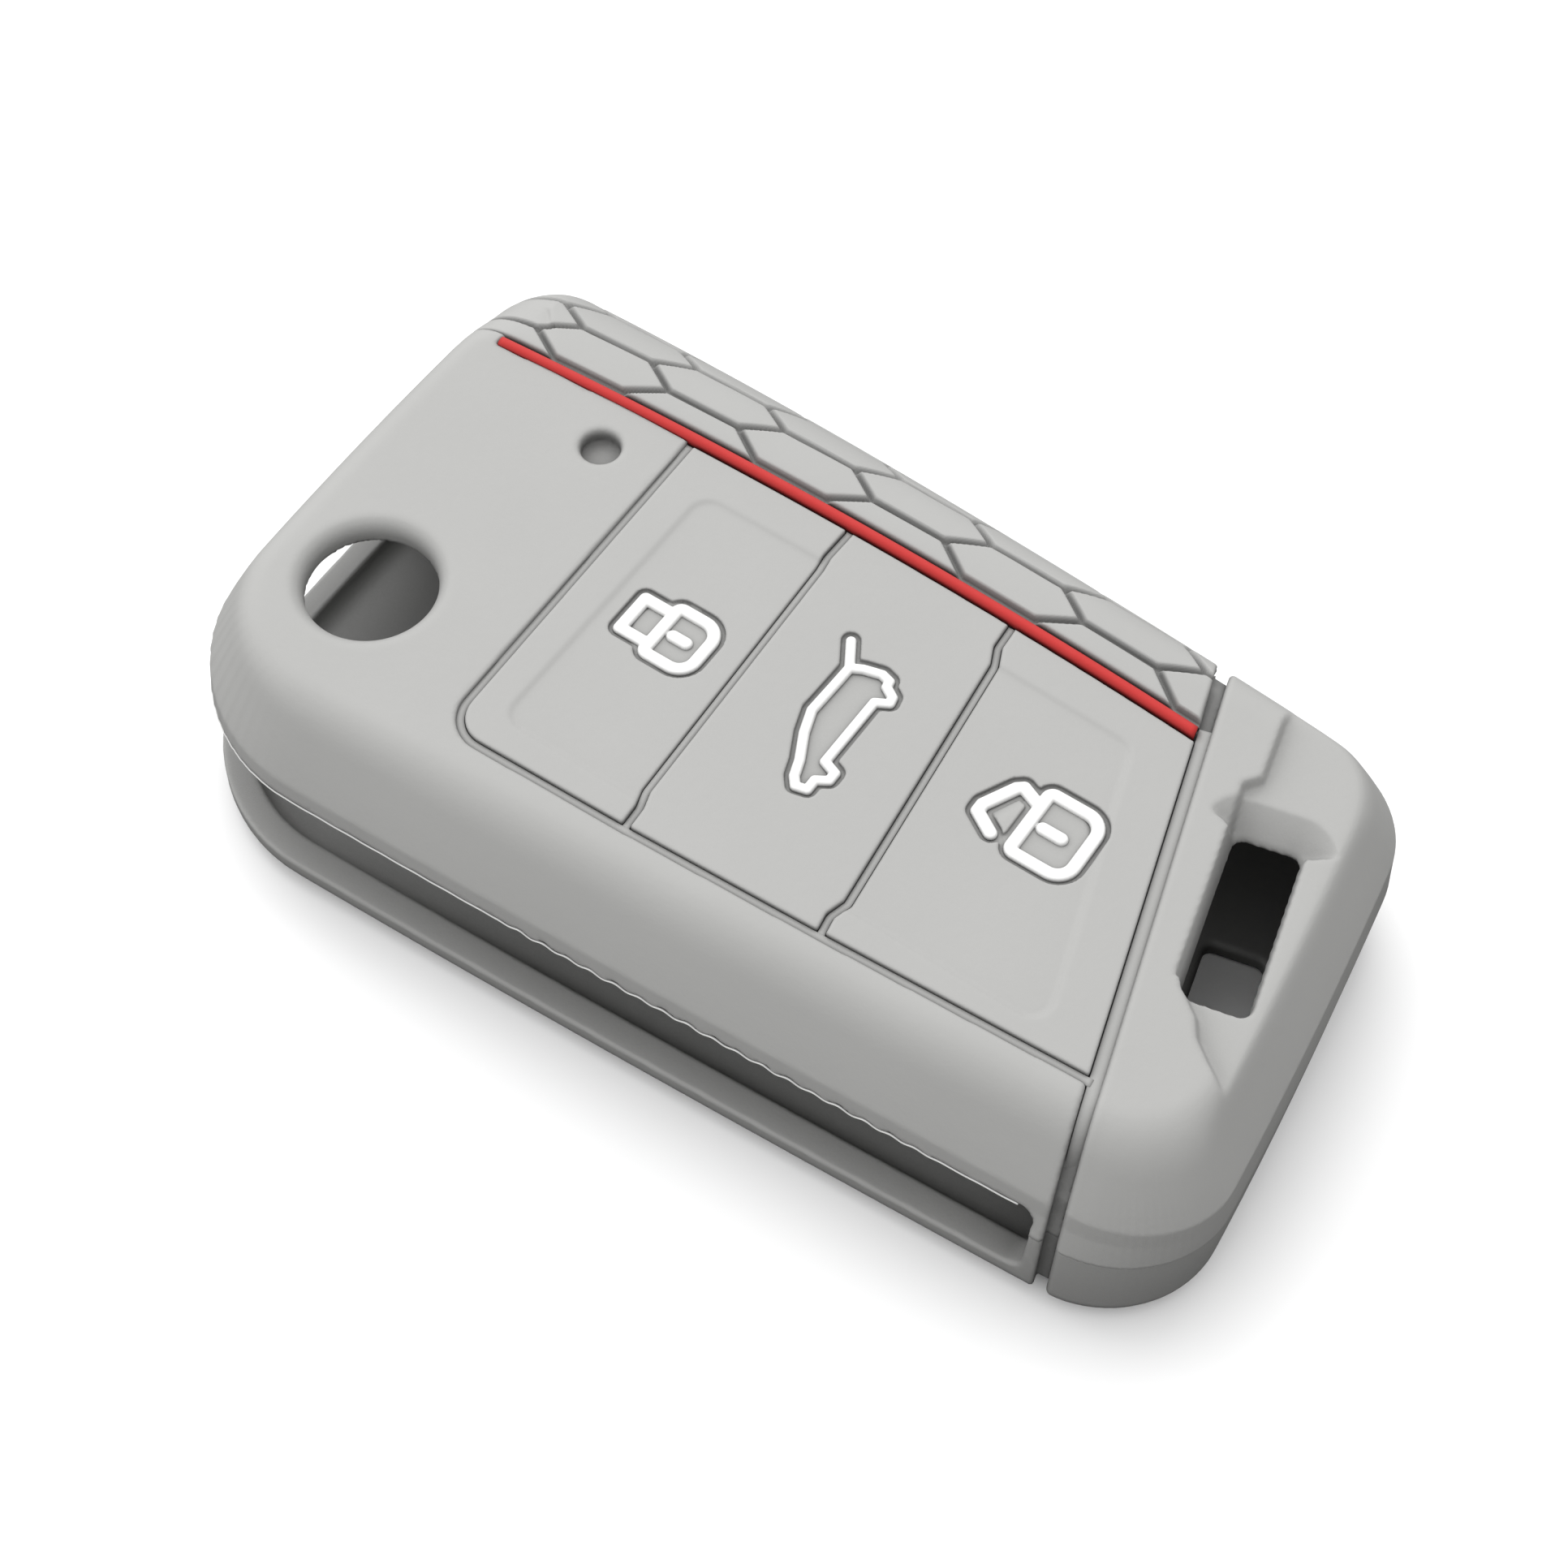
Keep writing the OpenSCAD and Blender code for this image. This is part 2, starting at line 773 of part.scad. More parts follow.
module stripe_profile() {
    bead = stripe_width / 2;
    stripe_height = stripe_seat + stripe_rise;
    intersection() {
        translate([stripe_radius - bead, 0])
            square([stripe_width, stripe_height]);
        union() {
            translate([stripe_radius - bead, 0])
                square([stripe_width, stripe_height - bead]);
            translate([stripe_radius, stripe_height - bead])
                circle(r = bead, $fn = bead_fn);
        }
    }
}

module red_stripe() {
    color(stripe_red)
        intersection() {
            along_stripe() stripe_profile();
            before_groove();
        }
}

// One cell with rounded corners, drawn in by half the groove on every side
module cell_shape() {
    side = cell_side / 2;
    tip = side + cell_tip;
    half = cell_width / 2;
    offset(delta = -cell_groove / 2)
        polygon(rounded([[-tip, 0], [-side, -half], [side, -half], [tip, 0], [side, half], [-side, half]],
            [for (k = [0 : 5]) cell_corner + cell_groove / 2], cell_corner_steps));
}

// Draws the cells whose corner nearest the middle of the cover lies inside the wall. The rows
// follow the stripe's arc, and every second column is half a cell further out
module cell_field() {
    inner_corner = [cell_side, -cell_width] / 2;
    for (column = [-1 : cell_columns], row = [-1 : cell_rows], half = [0, 1]) {
        along = first_cell_x + (column + half / 2) * cell_pitch - stripe_crown[0];
        turn = asin(along / stripe_radius);
        outwards = stripe_radius + first_row_rise + (row + half / 2) * cell_width;
        centre = stripe_centre + outwards * [sin(turn), cos(turn)];
        if (depth_inside(centre + inner_corner) > crease_inset + cell_depth)
            translate(centre)
                rotate([0, 0, -turn])
                    cell_shape();
    }
}

module honeycomb_grip() {
    layer = reversed(front_levels(groove_depth, groove_depth, groove_depth / 2));
    color(silicone_grey) {
        intersection() {
            skin(concat(layer, front_levels(cell_depth, cell_depth, cell_depth / 2)));
            grip_block();
        }
        intersection() {
            skin(concat(layer, front_levels(0, 0, 0)));
            grip_block();
            linear_extrude(face_z + over) cell_field();
        }
    }
}

front_shell();
back_shell();
ring_cap_front();
ring_cap_back();
lock_pad();
trunk_pad();
unlock_pad();
lock_icon();
trunk_icon();
unlock_icon();
red_stripe();
honeycomb_grip();
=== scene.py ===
# %% [markdown]
# # Silicone cover for a folding car key
#
# The real object is a soft skin of silicone rubber, about 2 mm thick, that pulls over a folding key. Its
# two halves, its key-ring end, three push pads, three white icons, a red bead and a honeycomb side are
# modelled here as separate pieces round the same CAD frame. All sizes are in millimetres and become metres
# in one place.

# %% Start and load the frame
import math

import bpy
import numpy as np
from mathutils import Matrix


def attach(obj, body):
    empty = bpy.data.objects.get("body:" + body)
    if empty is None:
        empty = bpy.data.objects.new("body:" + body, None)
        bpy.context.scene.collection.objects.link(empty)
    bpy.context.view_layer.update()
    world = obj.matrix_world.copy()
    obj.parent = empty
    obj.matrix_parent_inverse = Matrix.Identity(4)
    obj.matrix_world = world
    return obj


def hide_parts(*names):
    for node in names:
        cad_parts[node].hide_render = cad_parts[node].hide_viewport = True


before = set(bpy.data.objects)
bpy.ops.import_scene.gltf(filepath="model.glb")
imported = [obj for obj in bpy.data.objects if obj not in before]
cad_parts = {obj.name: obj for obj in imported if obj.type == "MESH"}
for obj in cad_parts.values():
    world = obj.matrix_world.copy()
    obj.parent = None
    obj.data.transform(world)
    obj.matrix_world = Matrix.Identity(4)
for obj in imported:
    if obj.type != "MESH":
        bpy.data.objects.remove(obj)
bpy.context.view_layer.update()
MM = 0.001
print("CAD nodes:", sorted(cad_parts))

# %% [markdown]
# ## The camera
#
# The photograph looks down on the cover from the blade side. Its camera was worked out from the outline,
# the grooves and the honeycomb grid. A camera is a position and three axes: one to the right, one up, and
# one back out of the picture. The roll turns the first two about the third.

# %% Camera
CAMERA_AZIMUTH = math.radians(34.07)
CAMERA_ELEVATION = math.radians(57.5)
CAMERA_ROLL = math.radians(0.69)
CAMERA_DISTANCE = 186.13
CAMERA_TARGET = np.array([0.23, -2.18, 8.645])
CAMERA_LENS = 61.306
SENSOR_WIDTH = 36
CAMERA_CLIP = (0.01, 10)


def camera_axes(azimuth, elevation, roll):
    """Right, up and back axes. Back points from the target to the camera: (sin a cos e, -cos a cos e,
    sin e)."""
    back = np.array([math.sin(azimuth) * math.cos(elevation),
                     -math.cos(azimuth) * math.cos(elevation), math.sin(elevation)])
    right = np.array([math.cos(azimuth), math.sin(azimuth), 0.0])
    up = np.cross(back, right)
    c, s = math.cos(roll), math.sin(roll)
    return c * right + s * up, c * up - s * right, back


def stand(piece, right, up, back, place):
    """Puts a camera or lamp at a place in metres, with its own axes along these three."""
    turn = np.eye(4)
    turn[:3, 0], turn[:3, 1], turn[:3, 2], turn[:3, 3] = right, up, back, place
    piece.matrix_world = Matrix(turn.tolist())
    bpy.context.scene.collection.objects.link(piece)
    return piece


def add_camera():
    """The photograph's camera: target + back * distance, looking along minus back."""
    right, up, back = camera_axes(CAMERA_AZIMUTH, CAMERA_ELEVATION, CAMERA_ROLL)
    data = bpy.data.cameras.new("camera")
    data.lens = CAMERA_LENS
    data.sensor_width = SENSOR_WIDTH
    data.clip_start, data.clip_end = CAMERA_CLIP
    place = (CAMERA_TARGET + back * CAMERA_DISTANCE) * MM
    camera = stand(bpy.data.objects.new("camera", data), right, up, back, place)
    bpy.context.scene.camera = camera
    return camera


camera = add_camera()
print("camera at", [round(v, 4) for v in camera.location])

# %% [markdown]
# ## Sizes
#
# These are the same named sizes as in the part's source, so that every piece here lies where its CAD solid
# does. Heights are measured from the back face, X runs to the key-ring end and Y to the honeycomb side.

# %% Sizes of the cover
HALF_LENGTH = 41.5
HALF_WIDTH = 24.6
RING_HALF_WIDTH = 20.15
FACE_Z = 17.7
PARTING_Z = 7.7
LIP_Z = 10.0
RIM_Z = 2.9
SLOT_SIDE_END = 31.83
SLOT_HEAD_END = 5.0
SLOT_CORNER = 1.2
CREASE_Z = 11.5
SIDE_SHIFT = 0.485
WALL = 1.9
BACK_WALL = 1.6
BACK_ROUND = 2.0
INNER_ROUND = 1.5
SEAM_STEP = 0.2
GROOVE_X = 27.1
GROOVE_ANGLE = math.radians(15.6)
GROOVE_WIDTH = 0.9
GROOVE_DEPTH = 0.9
PAD_THICKNESS = 0.65
PAD_GAP = 0.65
PAD_GROOVE = 0.6
RECESS_Z = FACE_Z - PAD_THICKNESS - PAD_GAP
PLUNGER_RADIUS = 3.0
PLUNGER_CLEARANCE = 0.3
PLUNGER_END_Z = 15.2
FLIP_PLACE = (-29.55, -9.496)
FLIP_RADIUS = 4.7
FLIP_RIM = 1.2
LIGHT_PLACE = (-23.572, 9.102)
LIGHT_RADIUS = 1.45
LIGHT_DEPTH = 1.3
STRIPE_RADIUS = 416.0
STRIPE_CENTRE = (-11.3, 13.63 - 416.0)
STRIPE_START_X = -35.6
STRIPE_WIDTH = 0.9
STRIPE_SEAT = 0.6
STRIPE_RISE = 0.2
STRIPE_GAP = 0.25
GRIP_LOW_Z = 9.0
SHELF_DEPTH = 0.8
RING_SLOT_PLACE = (33.2, 1.796)
RING_SLOT_ANGLE = math.radians(13)
RING_SLOT_SIZE = (4.4, 13.2)
RING_SLOT_CORNER = 0.7
print("button face at", FACE_Z, "mm, recess floor at", round(RECESS_Z, 3), "mm")

# %% [markdown]
# ## Lines in plan
#
# Seen from above, the cover is a four-sided shape with rounded corners and slightly bowed sides. The flat
# part of the button face is a smaller one inside it. Both are lists of points, and everything else is
# measured as a distance from such lines.

# %% Helpers for plan lines
def corner_arc(a, b, c, radius, steps):
    """Arc that rounds corner b: its middle lies on the corner's bisector, radius / sin(half angle) away."""
    a, b, c = (np.asarray(p, float) for p in (a, b, c))
    u = (a - b) / np.linalg.norm(a - b)
    v = (c - b) / np.linalg.norm(c - b)
    half = math.acos(u @ v) / 2
    middle = b + (u + v) / np.linalg.norm(u + v) * radius / math.sin(half)
    start = b + u * radius / math.tan(half) - middle
    turn = math.atan2(start[1], start[0]) + (math.pi - 2 * half) * np.linspace(0, 1, steps + 1)
    return middle + radius * np.column_stack([np.cos(turn), np.sin(turn)])


def rounded(corners, radii, steps=16):
    """Closed line through corners given anticlockwise, each rounded by its own radius."""
    n = len(corners)
    return np.vstack([corner_arc(corners[k - 1], corners[k], corners[(k + 1) % n], radii[k], steps)
                      for k in range(n)])


def even(line, count, closed=True):
    """The same line through count points at equal steps of its length."""
    line = np.vstack([line, line[:1]]) if closed else np.asarray(line, float)
    run = np.concatenate([[0], np.cumsum(np.hypot(*np.diff(line, axis=0).T))])
    at = np.linspace(0, run[-1], count, endpoint=not closed)
    return np.column_stack([np.interp(at, run, line[:, 0]), np.interp(at, run, line[:, 1])])


def on_face(shares):
    """Plan places given as shares of half the length and half the width."""
    return np.asarray(shares, float) * [HALF_LENGTH, HALF_WIDTH]


# %% Outline and flat
FAR_BOW, NEAR_BOW, RING_BOW, HEAD_BOW = 2.2, 0.6, 0.9, 1.1
RING_END, RING_LEAN = HALF_LENGTH + 0.47, 4.2
HEAD_NEAR_END, HEAD_FAR_END = -HALF_LENGTH + 1.57, -HALF_LENGTH + 0.37
OUTLINE_RADII, FLAT_RADII = [13, 8, 6.8, 5.5], [8, 5, 4.6, 3]
FLAT_INSETS = [[4.3, 6.4], [-4.4, 6.4], [-4.4, -4.4], [4.3, -10.4]]
outline_corners = np.array([[HEAD_NEAR_END, -HALF_WIDTH - SIDE_SHIFT],
                            [RING_END, -RING_HALF_WIDTH - SIDE_SHIFT],
                            [RING_END - RING_LEAN, RING_HALF_WIDTH - SIDE_SHIFT],
                            [HEAD_FAR_END, HALF_WIDTH - SIDE_SHIFT]])
flat_corners = outline_corners + FLAT_INSETS


def bowed(line):
    """Moves points out by bow times (how far along)^2 times (1 - how far across squared), so corners
    stay."""
    u, v = line[:, 0] / HALF_LENGTH, line[:, 1] / HALF_WIDTH
    end = np.where(u > 0, RING_BOW, -HEAD_BOW)
    side = np.where(v > 0, FAR_BOW, -NEAR_BOW)
    return line + np.column_stack([end * u * u * (1 - v * v), side * v * v * (1 - u * u)])


outline = bowed(even(rounded(outline_corners, OUTLINE_RADII), 360))
flat = even(rounded(flat_corners, FLAT_RADII), 240)
print("outline", outline.min(0).round(2), "to", outline.max(0).round(2))

# %% [markdown]
# ## Distance maps
#
# A distance map is a picture in plan whose value is the distance to a line, negative inside it. It is
# worked out once on a fine grid for all points at the same time, and read between the grid's points
# afterwards.

# %% Distance maps
MAP_STEP = 0.2
MAP_LOW = np.array([-46.0, -29.0])
MAP_SHAPE = (461, 291)
map_x, map_y = np.meshgrid(MAP_LOW[0] + MAP_STEP * np.arange(MAP_SHAPE[0]),
                           MAP_LOW[1] + MAP_STEP * np.arange(MAP_SHAPE[1]), indexing="ij")


def distance_to(line, x, y, closed=True):
    """Distance from points to a line of segments; negative inside a closed one (a point is inside when a
    ray to the right crosses the line an odd number of times)."""
    a = np.asarray(line, float)
    b = np.roll(a, -1, axis=0)
    if not closed:
        a, b = a[:-1], b[:-1]
    px, py = x.ravel()[:, None], y.ravel()[:, None]
    near = np.full(px.shape[0], np.inf)
    odd = np.zeros(px.shape[0], bool)
    for s in np.array_split(np.arange(len(a)), max(1, len(a) // 12)):
        ax, ay = a[s, 0], a[s, 1]
        dx, dy = b[s, 0] - ax, b[s, 1] - ay
        t = np.clip(((px - ax) * dx + (py - ay) * dy) / (dx * dx + dy * dy), 0, 1)
        near = np.minimum(near, np.hypot(px - ax - t * dx, py - ay - t * dy).min(1))
        if closed:
            spans = (ay > py) != (b[s, 1] > py)
            with np.errstate(divide="ignore", invalid="ignore"):
                left = px < dx * (py - ay) / dy + ax
            odd ^= (spans & left).sum(1) % 2 == 1
    return np.where(odd, -near, near).reshape(x.shape)


def read_map(field, x, y):
    """Value of a map between its grid's points, weighted by the distance to the four nearest ones."""
    u = np.clip((x - MAP_LOW[0]) / MAP_STEP, 0, MAP_SHAPE[0] - 1.001)
    v = np.clip((y - MAP_LOW[1]) / MAP_STEP, 0, MAP_SHAPE[1] - 1.001)
    i, j = u.astype(int), v.astype(int)
    u, v = u - i, v - j
    return ((field[i, j] * (1 - u) + field[i + 1, j] * u) * (1 - v)
            + (field[i, j + 1] * (1 - u) + field[i + 1, j + 1] * u) * v)


outline_map = distance_to(outline, map_x, map_y)
flat_map = distance_to(flat, map_x, map_y)
out_x, out_y = np.gradient(outline_map, MAP_STEP)
out_length = np.maximum(np.hypot(out_x, out_y), 1e-6)
blade_map = np.maximum(0, -out_y / out_length) ** 2
far_map = np.maximum(0, out_y / out_length) ** 2
print("distance maps of", outline_map.shape, "points; deepest", outline_map.min().round(2), "mm")

# %% [markdown]
# ## The height of the button face
#
# From the flat the face rolls off to a crease in the wall. At a share s of the way in from the crease to
# the flat, the height is: face height - (face height - crease height) * (1 - s) ^ power. The power is
# larger on the honeycomb side, where the roll-off is long and shallow. On the other sides an even slope
# runs up from the crease, and the height is the softer smaller one of the two.

# %% Height of the face
def blend_step(low, high, value):
    """0 below low, 1 above high, and 3 t^2 - 2 t^3 between."""
    t = np.clip((value - low) / (high - low), 0, 1)
    return t * t * (3 - 2 * t)


CREASE_INSET, CREASE_BLADE_INSET = 0.35, 1.15
SIDE_SLOPE, SHOULDER_SOFTNESS, SHOULDER_START = 1.96, 0.5, 2.0
ROLL_POWER, FAR_ROLL_POWER = 2.2, 0.6
inside_crease = -(outline_map + CREASE_INSET + CREASE_BLADE_INSET * blade_map)
outside_flat = np.maximum(flat_map, 0)
share_map = inside_crease / np.maximum(inside_crease + outside_flat, 0.5)
power_map = ROLL_POWER + FAR_ROLL_POWER * far_map
roll_map = FACE_Z - (FACE_Z - CREASE_Z) * np.maximum(1 - share_map, 0) ** power_map
over_slope = roll_map - CREASE_Z - SIDE_SLOPE * np.maximum(inside_crease, 0)
soft_map = SHOULDER_SOFTNESS * blend_step(0, SHOULDER_START, inside_crease)
lower_map = roll_map - (over_slope + np.sqrt(over_slope ** 2 + soft_map ** 2)) / 2
height_map = np.where(inside_crease > 0, lower_map, roll_map)


def slope_length(heights):
    """Length of the step that rises over one unit of plan: sqrt(1 + slope squared)."""
    gx, gy = np.gradient(heights, MAP_STEP)
    return np.sqrt(1 + gx * gx + gy * gy)


height_slope = slope_length(height_map)
print("face: top", height_map.max().round(2), "steepest", height_slope[outline_map < 0].max().round(2))

# %% [markdown]
# ## Soft solids
#
# A moulded rubber shell has holes, slots and lips, and every edge is a little round, so no single sheet of
# a grid can be its surface. It is described instead by a function that gives the distance to its surface at
# any point. Cutting is then a maximum of two distances, and a rounded maximum leaves a round edge of any
# radius. The surface is found on a grid of small boxes: each box that the surface passes through gets one
# point, and each grid edge that crosses the surface gets one face between the four boxes round it.

# %% Cutting with round edges
def cut(a, b, radius=0.0):
    """Overlap of two solids with an edge of that radius: min(max(a, b), -r) + length of the part of (a + r,
    b + r) above zero."""
    if radius == 0:
        return np.maximum(a, b)
    edge = np.hypot(np.maximum(a + radius, 0), np.maximum(b + radius, 0))
    return np.minimum(np.maximum(a, b), -radius) + edge


# %% Surface of a soft solid
BOX_EDGES = [(a, a ^ bit) for a in range(8) for bit in (1, 2, 4) if not a & bit]
NUDGES = 0.02 * np.eye(3)


def corner_of(number):
    """Corner 0 to 7 of a box as (x, y, z) steps."""
    return np.array([number & 1, number >> 1 & 1, number >> 2 & 1])


def surface_points(values, boxes):
    """One point for each box: the mean of the places where its edges cross zero."""
    total = np.zeros((len(boxes), 3))
    count = np.zeros(len(boxes))
    for a, b in BOX_EDGES:
        ca, cb = corner_of(a), corner_of(b)
        va, vb = values[tuple((boxes + ca).T)], values[tuple((boxes + cb).T)]
        crosses = (va < 0) != (vb < 0)
        t = np.where(crosses, va / np.where(va == vb, 1, va - vb), 0)
        total += crosses[:, None] * (ca + t[:, None] * (cb - ca))
        count += crosses
    return boxes + total / count[:, None]


def surface_faces(inside, number):
    """One face for each grid edge that crosses the surface, turned so that it looks outwards."""
    faces = []
    for axis in range(3):
        solid = np.moveaxis(inside, (axis, (axis + 1) % 3, (axis + 2) % 3), (0, 1, 2))
        ids = np.moveaxis(number, (axis, (axis + 1) % 3, (axis + 2) % 3), (0, 1, 2))
        low, high = solid[:-1, 1:-1, 1:-1], solid[1:, 1:-1, 1:-1]
        i, j, k = np.nonzero(low != high)
        around = np.stack([ids[i, j, k], ids[i, j + 1, k], ids[i, j + 1, k + 1], ids[i, j, k + 1]], 1)
        faces.append(np.where(low[i, j, k][:, None], around, around[:, ::-1]))
    return np.vstack(faces)


def settle(points, distance, step, rounds=2):
    """Moves points onto the surface: against the slope of the distance, by its value, a third of a box at
    most."""
    for _ in range(rounds):
        value = distance(*points.T)
        slope = np.stack([distance(*(points + nudge).T) - distance(*(points - nudge).T)
                          for nudge in NUDGES], 1) / (2 * NUDGES[0, 0])
        size = np.maximum((slope ** 2).sum(1), 0.25)
        move = -(value / size)[:, None] * slope
        length = np.maximum(np.hypot(np.hypot(move[:, 0], move[:, 1]), move[:, 2]), 1e-9)
        points = points + move * np.minimum(1, step / 3 / length)[:, None]
    return points


def soft_solid(low, high, step, distance):
    """Points and faces of the surface where the distance is zero, in a block from low to high."""
    low, high = np.asarray(low, float), np.asarray(high, float)
    counts = np.ceil((high - low) / step).astype(int) + 1
    x, y, z = (low[k] + step * np.arange(counts[k]) for k in range(3))
    values = distance(x[:, None, None], y[None, :, None], z[None, None, :])
    values = np.broadcast_to(values, counts)
    inside = values < 0
    last = counts - 1
    held = sum(inside[i:last[0] + i, j:last[1] + j, k:last[2] + k].astype(np.int8)
               for i in (0, 1) for j in (0, 1) for k in (0, 1))
    crossed = (held > 0) & (held < 8)
    number = np.full(crossed.shape, -1)
    number[crossed] = np.arange(crossed.sum())
    points = low + step * surface_points(values, np.argwhere(crossed))
    return settle(points, distance, step), surface_faces(inside, number)


# %% Putting a mesh into the scene
def put_mesh(name, points, faces):
    """Makes a smooth object from points in millimetres and an array of four-sided faces."""
    mesh = bpy.data.meshes.new(name)
    mesh.vertices.add(len(points))
    mesh.vertices.foreach_set("co", (np.asarray(points) * MM).astype(np.float32).ravel())
    faces = np.asarray(faces)
    mesh.loops.add(faces.size)
    mesh.loops.foreach_set("vertex_index", faces.astype(np.int32).ravel())
    mesh.polygons.add(len(faces))
    starts = np.arange(len(faces)) * faces.shape[1]
    mesh.polygons.foreach_set("loop_start", starts.astype(np.int32))
    mesh.polygons.foreach_set("use_smooth", np.ones(len(faces), bool))
    mesh.update(calc_edges=True)
    mesh.validate()
    piece = bpy.data.objects.new(name, mesh)
    bpy.context.scene.collection.objects.link(piece)
    return piece


def sheet_faces(rows, columns):
    """Four-sided faces of an open grid of points."""
    i, j = np.meshgrid(np.arange(rows - 1), np.arange(columns - 1), indexing="ij")
    a = i * columns + j
    return np.stack([a, a + columns, a + columns + 1, a + 1], 2).reshape(-1, 4)


MOST_FACES = 92000


def moulded(name, plan, heights, step, distance):
    """A piece made from its distance, in a block over a plan (low corner, high corner) between two heights.
    Faces are taken out where it is flat until it is light enough."""
    low, high = ([*corner, height] for corner, height in zip(plan, heights))
    piece = put_mesh(name, *soft_solid(low, high, step, distance))
    count = len(piece.data.polygons)
    if count > MOST_FACES:
        modifier = piece.modifiers.new("thin", "DECIMATE")
        modifier.ratio = MOST_FACES / count
    print(name, count, "faces")
    return piece


# %% [markdown]
# ## Fields of this cover
#
# These functions of x, y and z are the distances that all four shells share: the outer skin of each half,
# the end groove, the line of the red bead, the slot that the blade swings out of, and the slot for the key
# ring.

# %% Shared distances
WALL_HEIGHTS = [PARTING_Z, LIP_Z, CREASE_Z, FACE_Z]
WALL_INSETS = [0, 0.22, CREASE_INSET, 2.05]
WALL_BLADE_INSETS = [0.45, 0.98, CREASE_BLADE_INSET, 3.2]
CREASE_BLEND = 0.25
BACK_LEAN = 0.45
HOLLOW_BLADE_INSET = 0.3


def front_skin(x, y, z, heights=height_map, slopes=height_slope):
    """Front half: below the crease the distance to the outline, moved in with height; above it the height
    over the face divided by the slope's length."""
    wall = read_map(outline_map, x, y) + np.interp(z, WALL_HEIGHTS, WALL_INSETS) \
        + read_map(blade_map, x, y) * np.interp(z, WALL_HEIGHTS, WALL_BLADE_INSETS)
    face = (z - read_map(heights, x, y)) / read_map(slopes, x, y)
    share = blend_step(CREASE_Z - CREASE_BLEND, CREASE_Z + CREASE_BLEND, z)
    return wall * (1 - share) + face * share


def back_skin(x, y, z):
    """Back half: the outline moved in a little towards the seam, with a round edge under it."""
    lean = np.clip((z - BACK_ROUND) / (PARTING_Z - BACK_ROUND), 0, 1)
    wall = read_map(outline_map, x, y) + SEAM_STEP + BACK_LEAN * lean * read_map(blade_map, x, y)
    return cut(wall, -z, BACK_ROUND)


def back_hollow(x, y, z):
    """Hollow of the back half, with a round edge along its floor."""
    wall = read_map(outline_map, x, y) + WALL + SEAM_STEP
    return cut(wall + HOLLOW_BLADE_INSET * read_map(blade_map, x, y), BACK_WALL - z, INNER_ROUND)


def across_groove(x, y):
    """Distance beyond the near side of the end groove."""
    return (x - GROOVE_X) * math.cos(GROOVE_ANGLE) + y * math.sin(GROOVE_ANGLE)


def beyond_stripe(x, y):
    """Distance beyond the middle of the red bead, towards the honeycomb."""
    return np.hypot(x - STRIPE_CENTRE[0], y - STRIPE_CENTRE[1]) - STRIPE_RADIUS


def from_axis(place, x, y):
    """Distance from an upright axis."""
    return np.hypot(x - place[0], y - place[1])


def round_corner(a, b, corner):
    """Distance to a round corner between edges at distances a and b: with a + corner and b + corner, the
    length of what lies above zero, or inside the larger one, less the corner."""
    a, b = a + corner, b + corner
    return np.hypot(np.maximum(a, 0), np.maximum(b, 0)) + np.minimum(np.maximum(a, b), 0) - corner


WAVE_START, WAVE_END = (-10, -7), (22, 26)
WAVE_HEIGHT, WAVE_LENGTH = 0.13, 1.9
RIPPLE_HEIGHT, RIPPLE_TURN = 0.025, 2.3


def lip_wave(x):
    """Height of the wobble of the slot's upper lip: a sine of 1.9 mm to the right of its middle, and a
    faint slower one all along."""
    share = blend_step(*WAVE_START, x) * (1 - blend_step(*WAVE_END, x))
    wave = WAVE_HEIGHT * share * np.sin(2 * math.pi * x / WAVE_LENGTH)
    return wave + RIPPLE_HEIGHT * np.sin(RIPPLE_TURN * x)


def blade_slot(x, y, z):
    """Slot along the blade side and round the head end, with round corners; its upper lip waves
    slightly."""
    half = (LIP_Z - RIM_Z) / 2
    up = np.abs(z - RIM_Z - half + 0 * x) - half - np.where(z > LIP_Z - 2, lip_wave(x), 0)
    along_side = round_corner(x - SLOT_SIDE_END, up, SLOT_CORNER)
    along_head = round_corner(y - SLOT_HEAD_END, up, SLOT_CORNER)
    return np.minimum(np.maximum(along_side, y - flat_corners[1][1]),
                      np.maximum(along_head, x - flat_corners[3][0]))


def in_slot_frame(x, y):
    """Places across and along the slanted slot for the key ring."""
    c, s = math.cos(RING_SLOT_ANGLE), math.sin(RING_SLOT_ANGLE)
    dx, dy = x - RING_SLOT_PLACE[0], y - RING_SLOT_PLACE[1]
    return c * dx + s * dy, c * dy - s * dx


def ring_slot(x, y):
    """Distance to the edge of the slot for the key ring."""
    across, along = in_slot_frame(x, y)
    return round_corner(np.abs(across) - RING_SLOT_SIZE[0] / 2, np.abs(along) - RING_SLOT_SIZE[1] / 2,
                        RING_SLOT_CORNER)


# %% [markdown]
# ## Lines of the pads
#
# Thin grooves part the three pads from each other and from the face. They bend a little near both ends, so
# the line down the middle of each is a short list of points.

# %% Pad lines
divider_1 = on_face([[-0.4446, 0.61], [-0.4265, -0.654]])
divider_2 = on_face([[-0.111, 0.61], [-0.1145, 0.415], [-0.11, 0.366], [-0.089, -0.508],
                     [-0.0795, -0.561], [-0.077, -0.638]])
divider_3 = on_face([[0.213, 0.61], [0.219, 0.427], [0.234, 0.37], [0.287, -0.488],
                     [0.277, -0.545], [0.283, -0.61]])
foot_end = on_face([0.743, -0.565])
PAD_CORNER = 2.6
LOCK_PLACE = on_face([-0.2355, -0.05])
TRUNK_PLACE = on_face([0.088, -0.05])
UNLOCK_PLACE = on_face([0.47, -0.006])


def groove_point(y):
    """Place on the near side of the end groove, moved by half a pad groove."""
    return [GROOVE_X + PAD_GROOVE / 2 - y * math.tan(GROOVE_ANGLE), y]


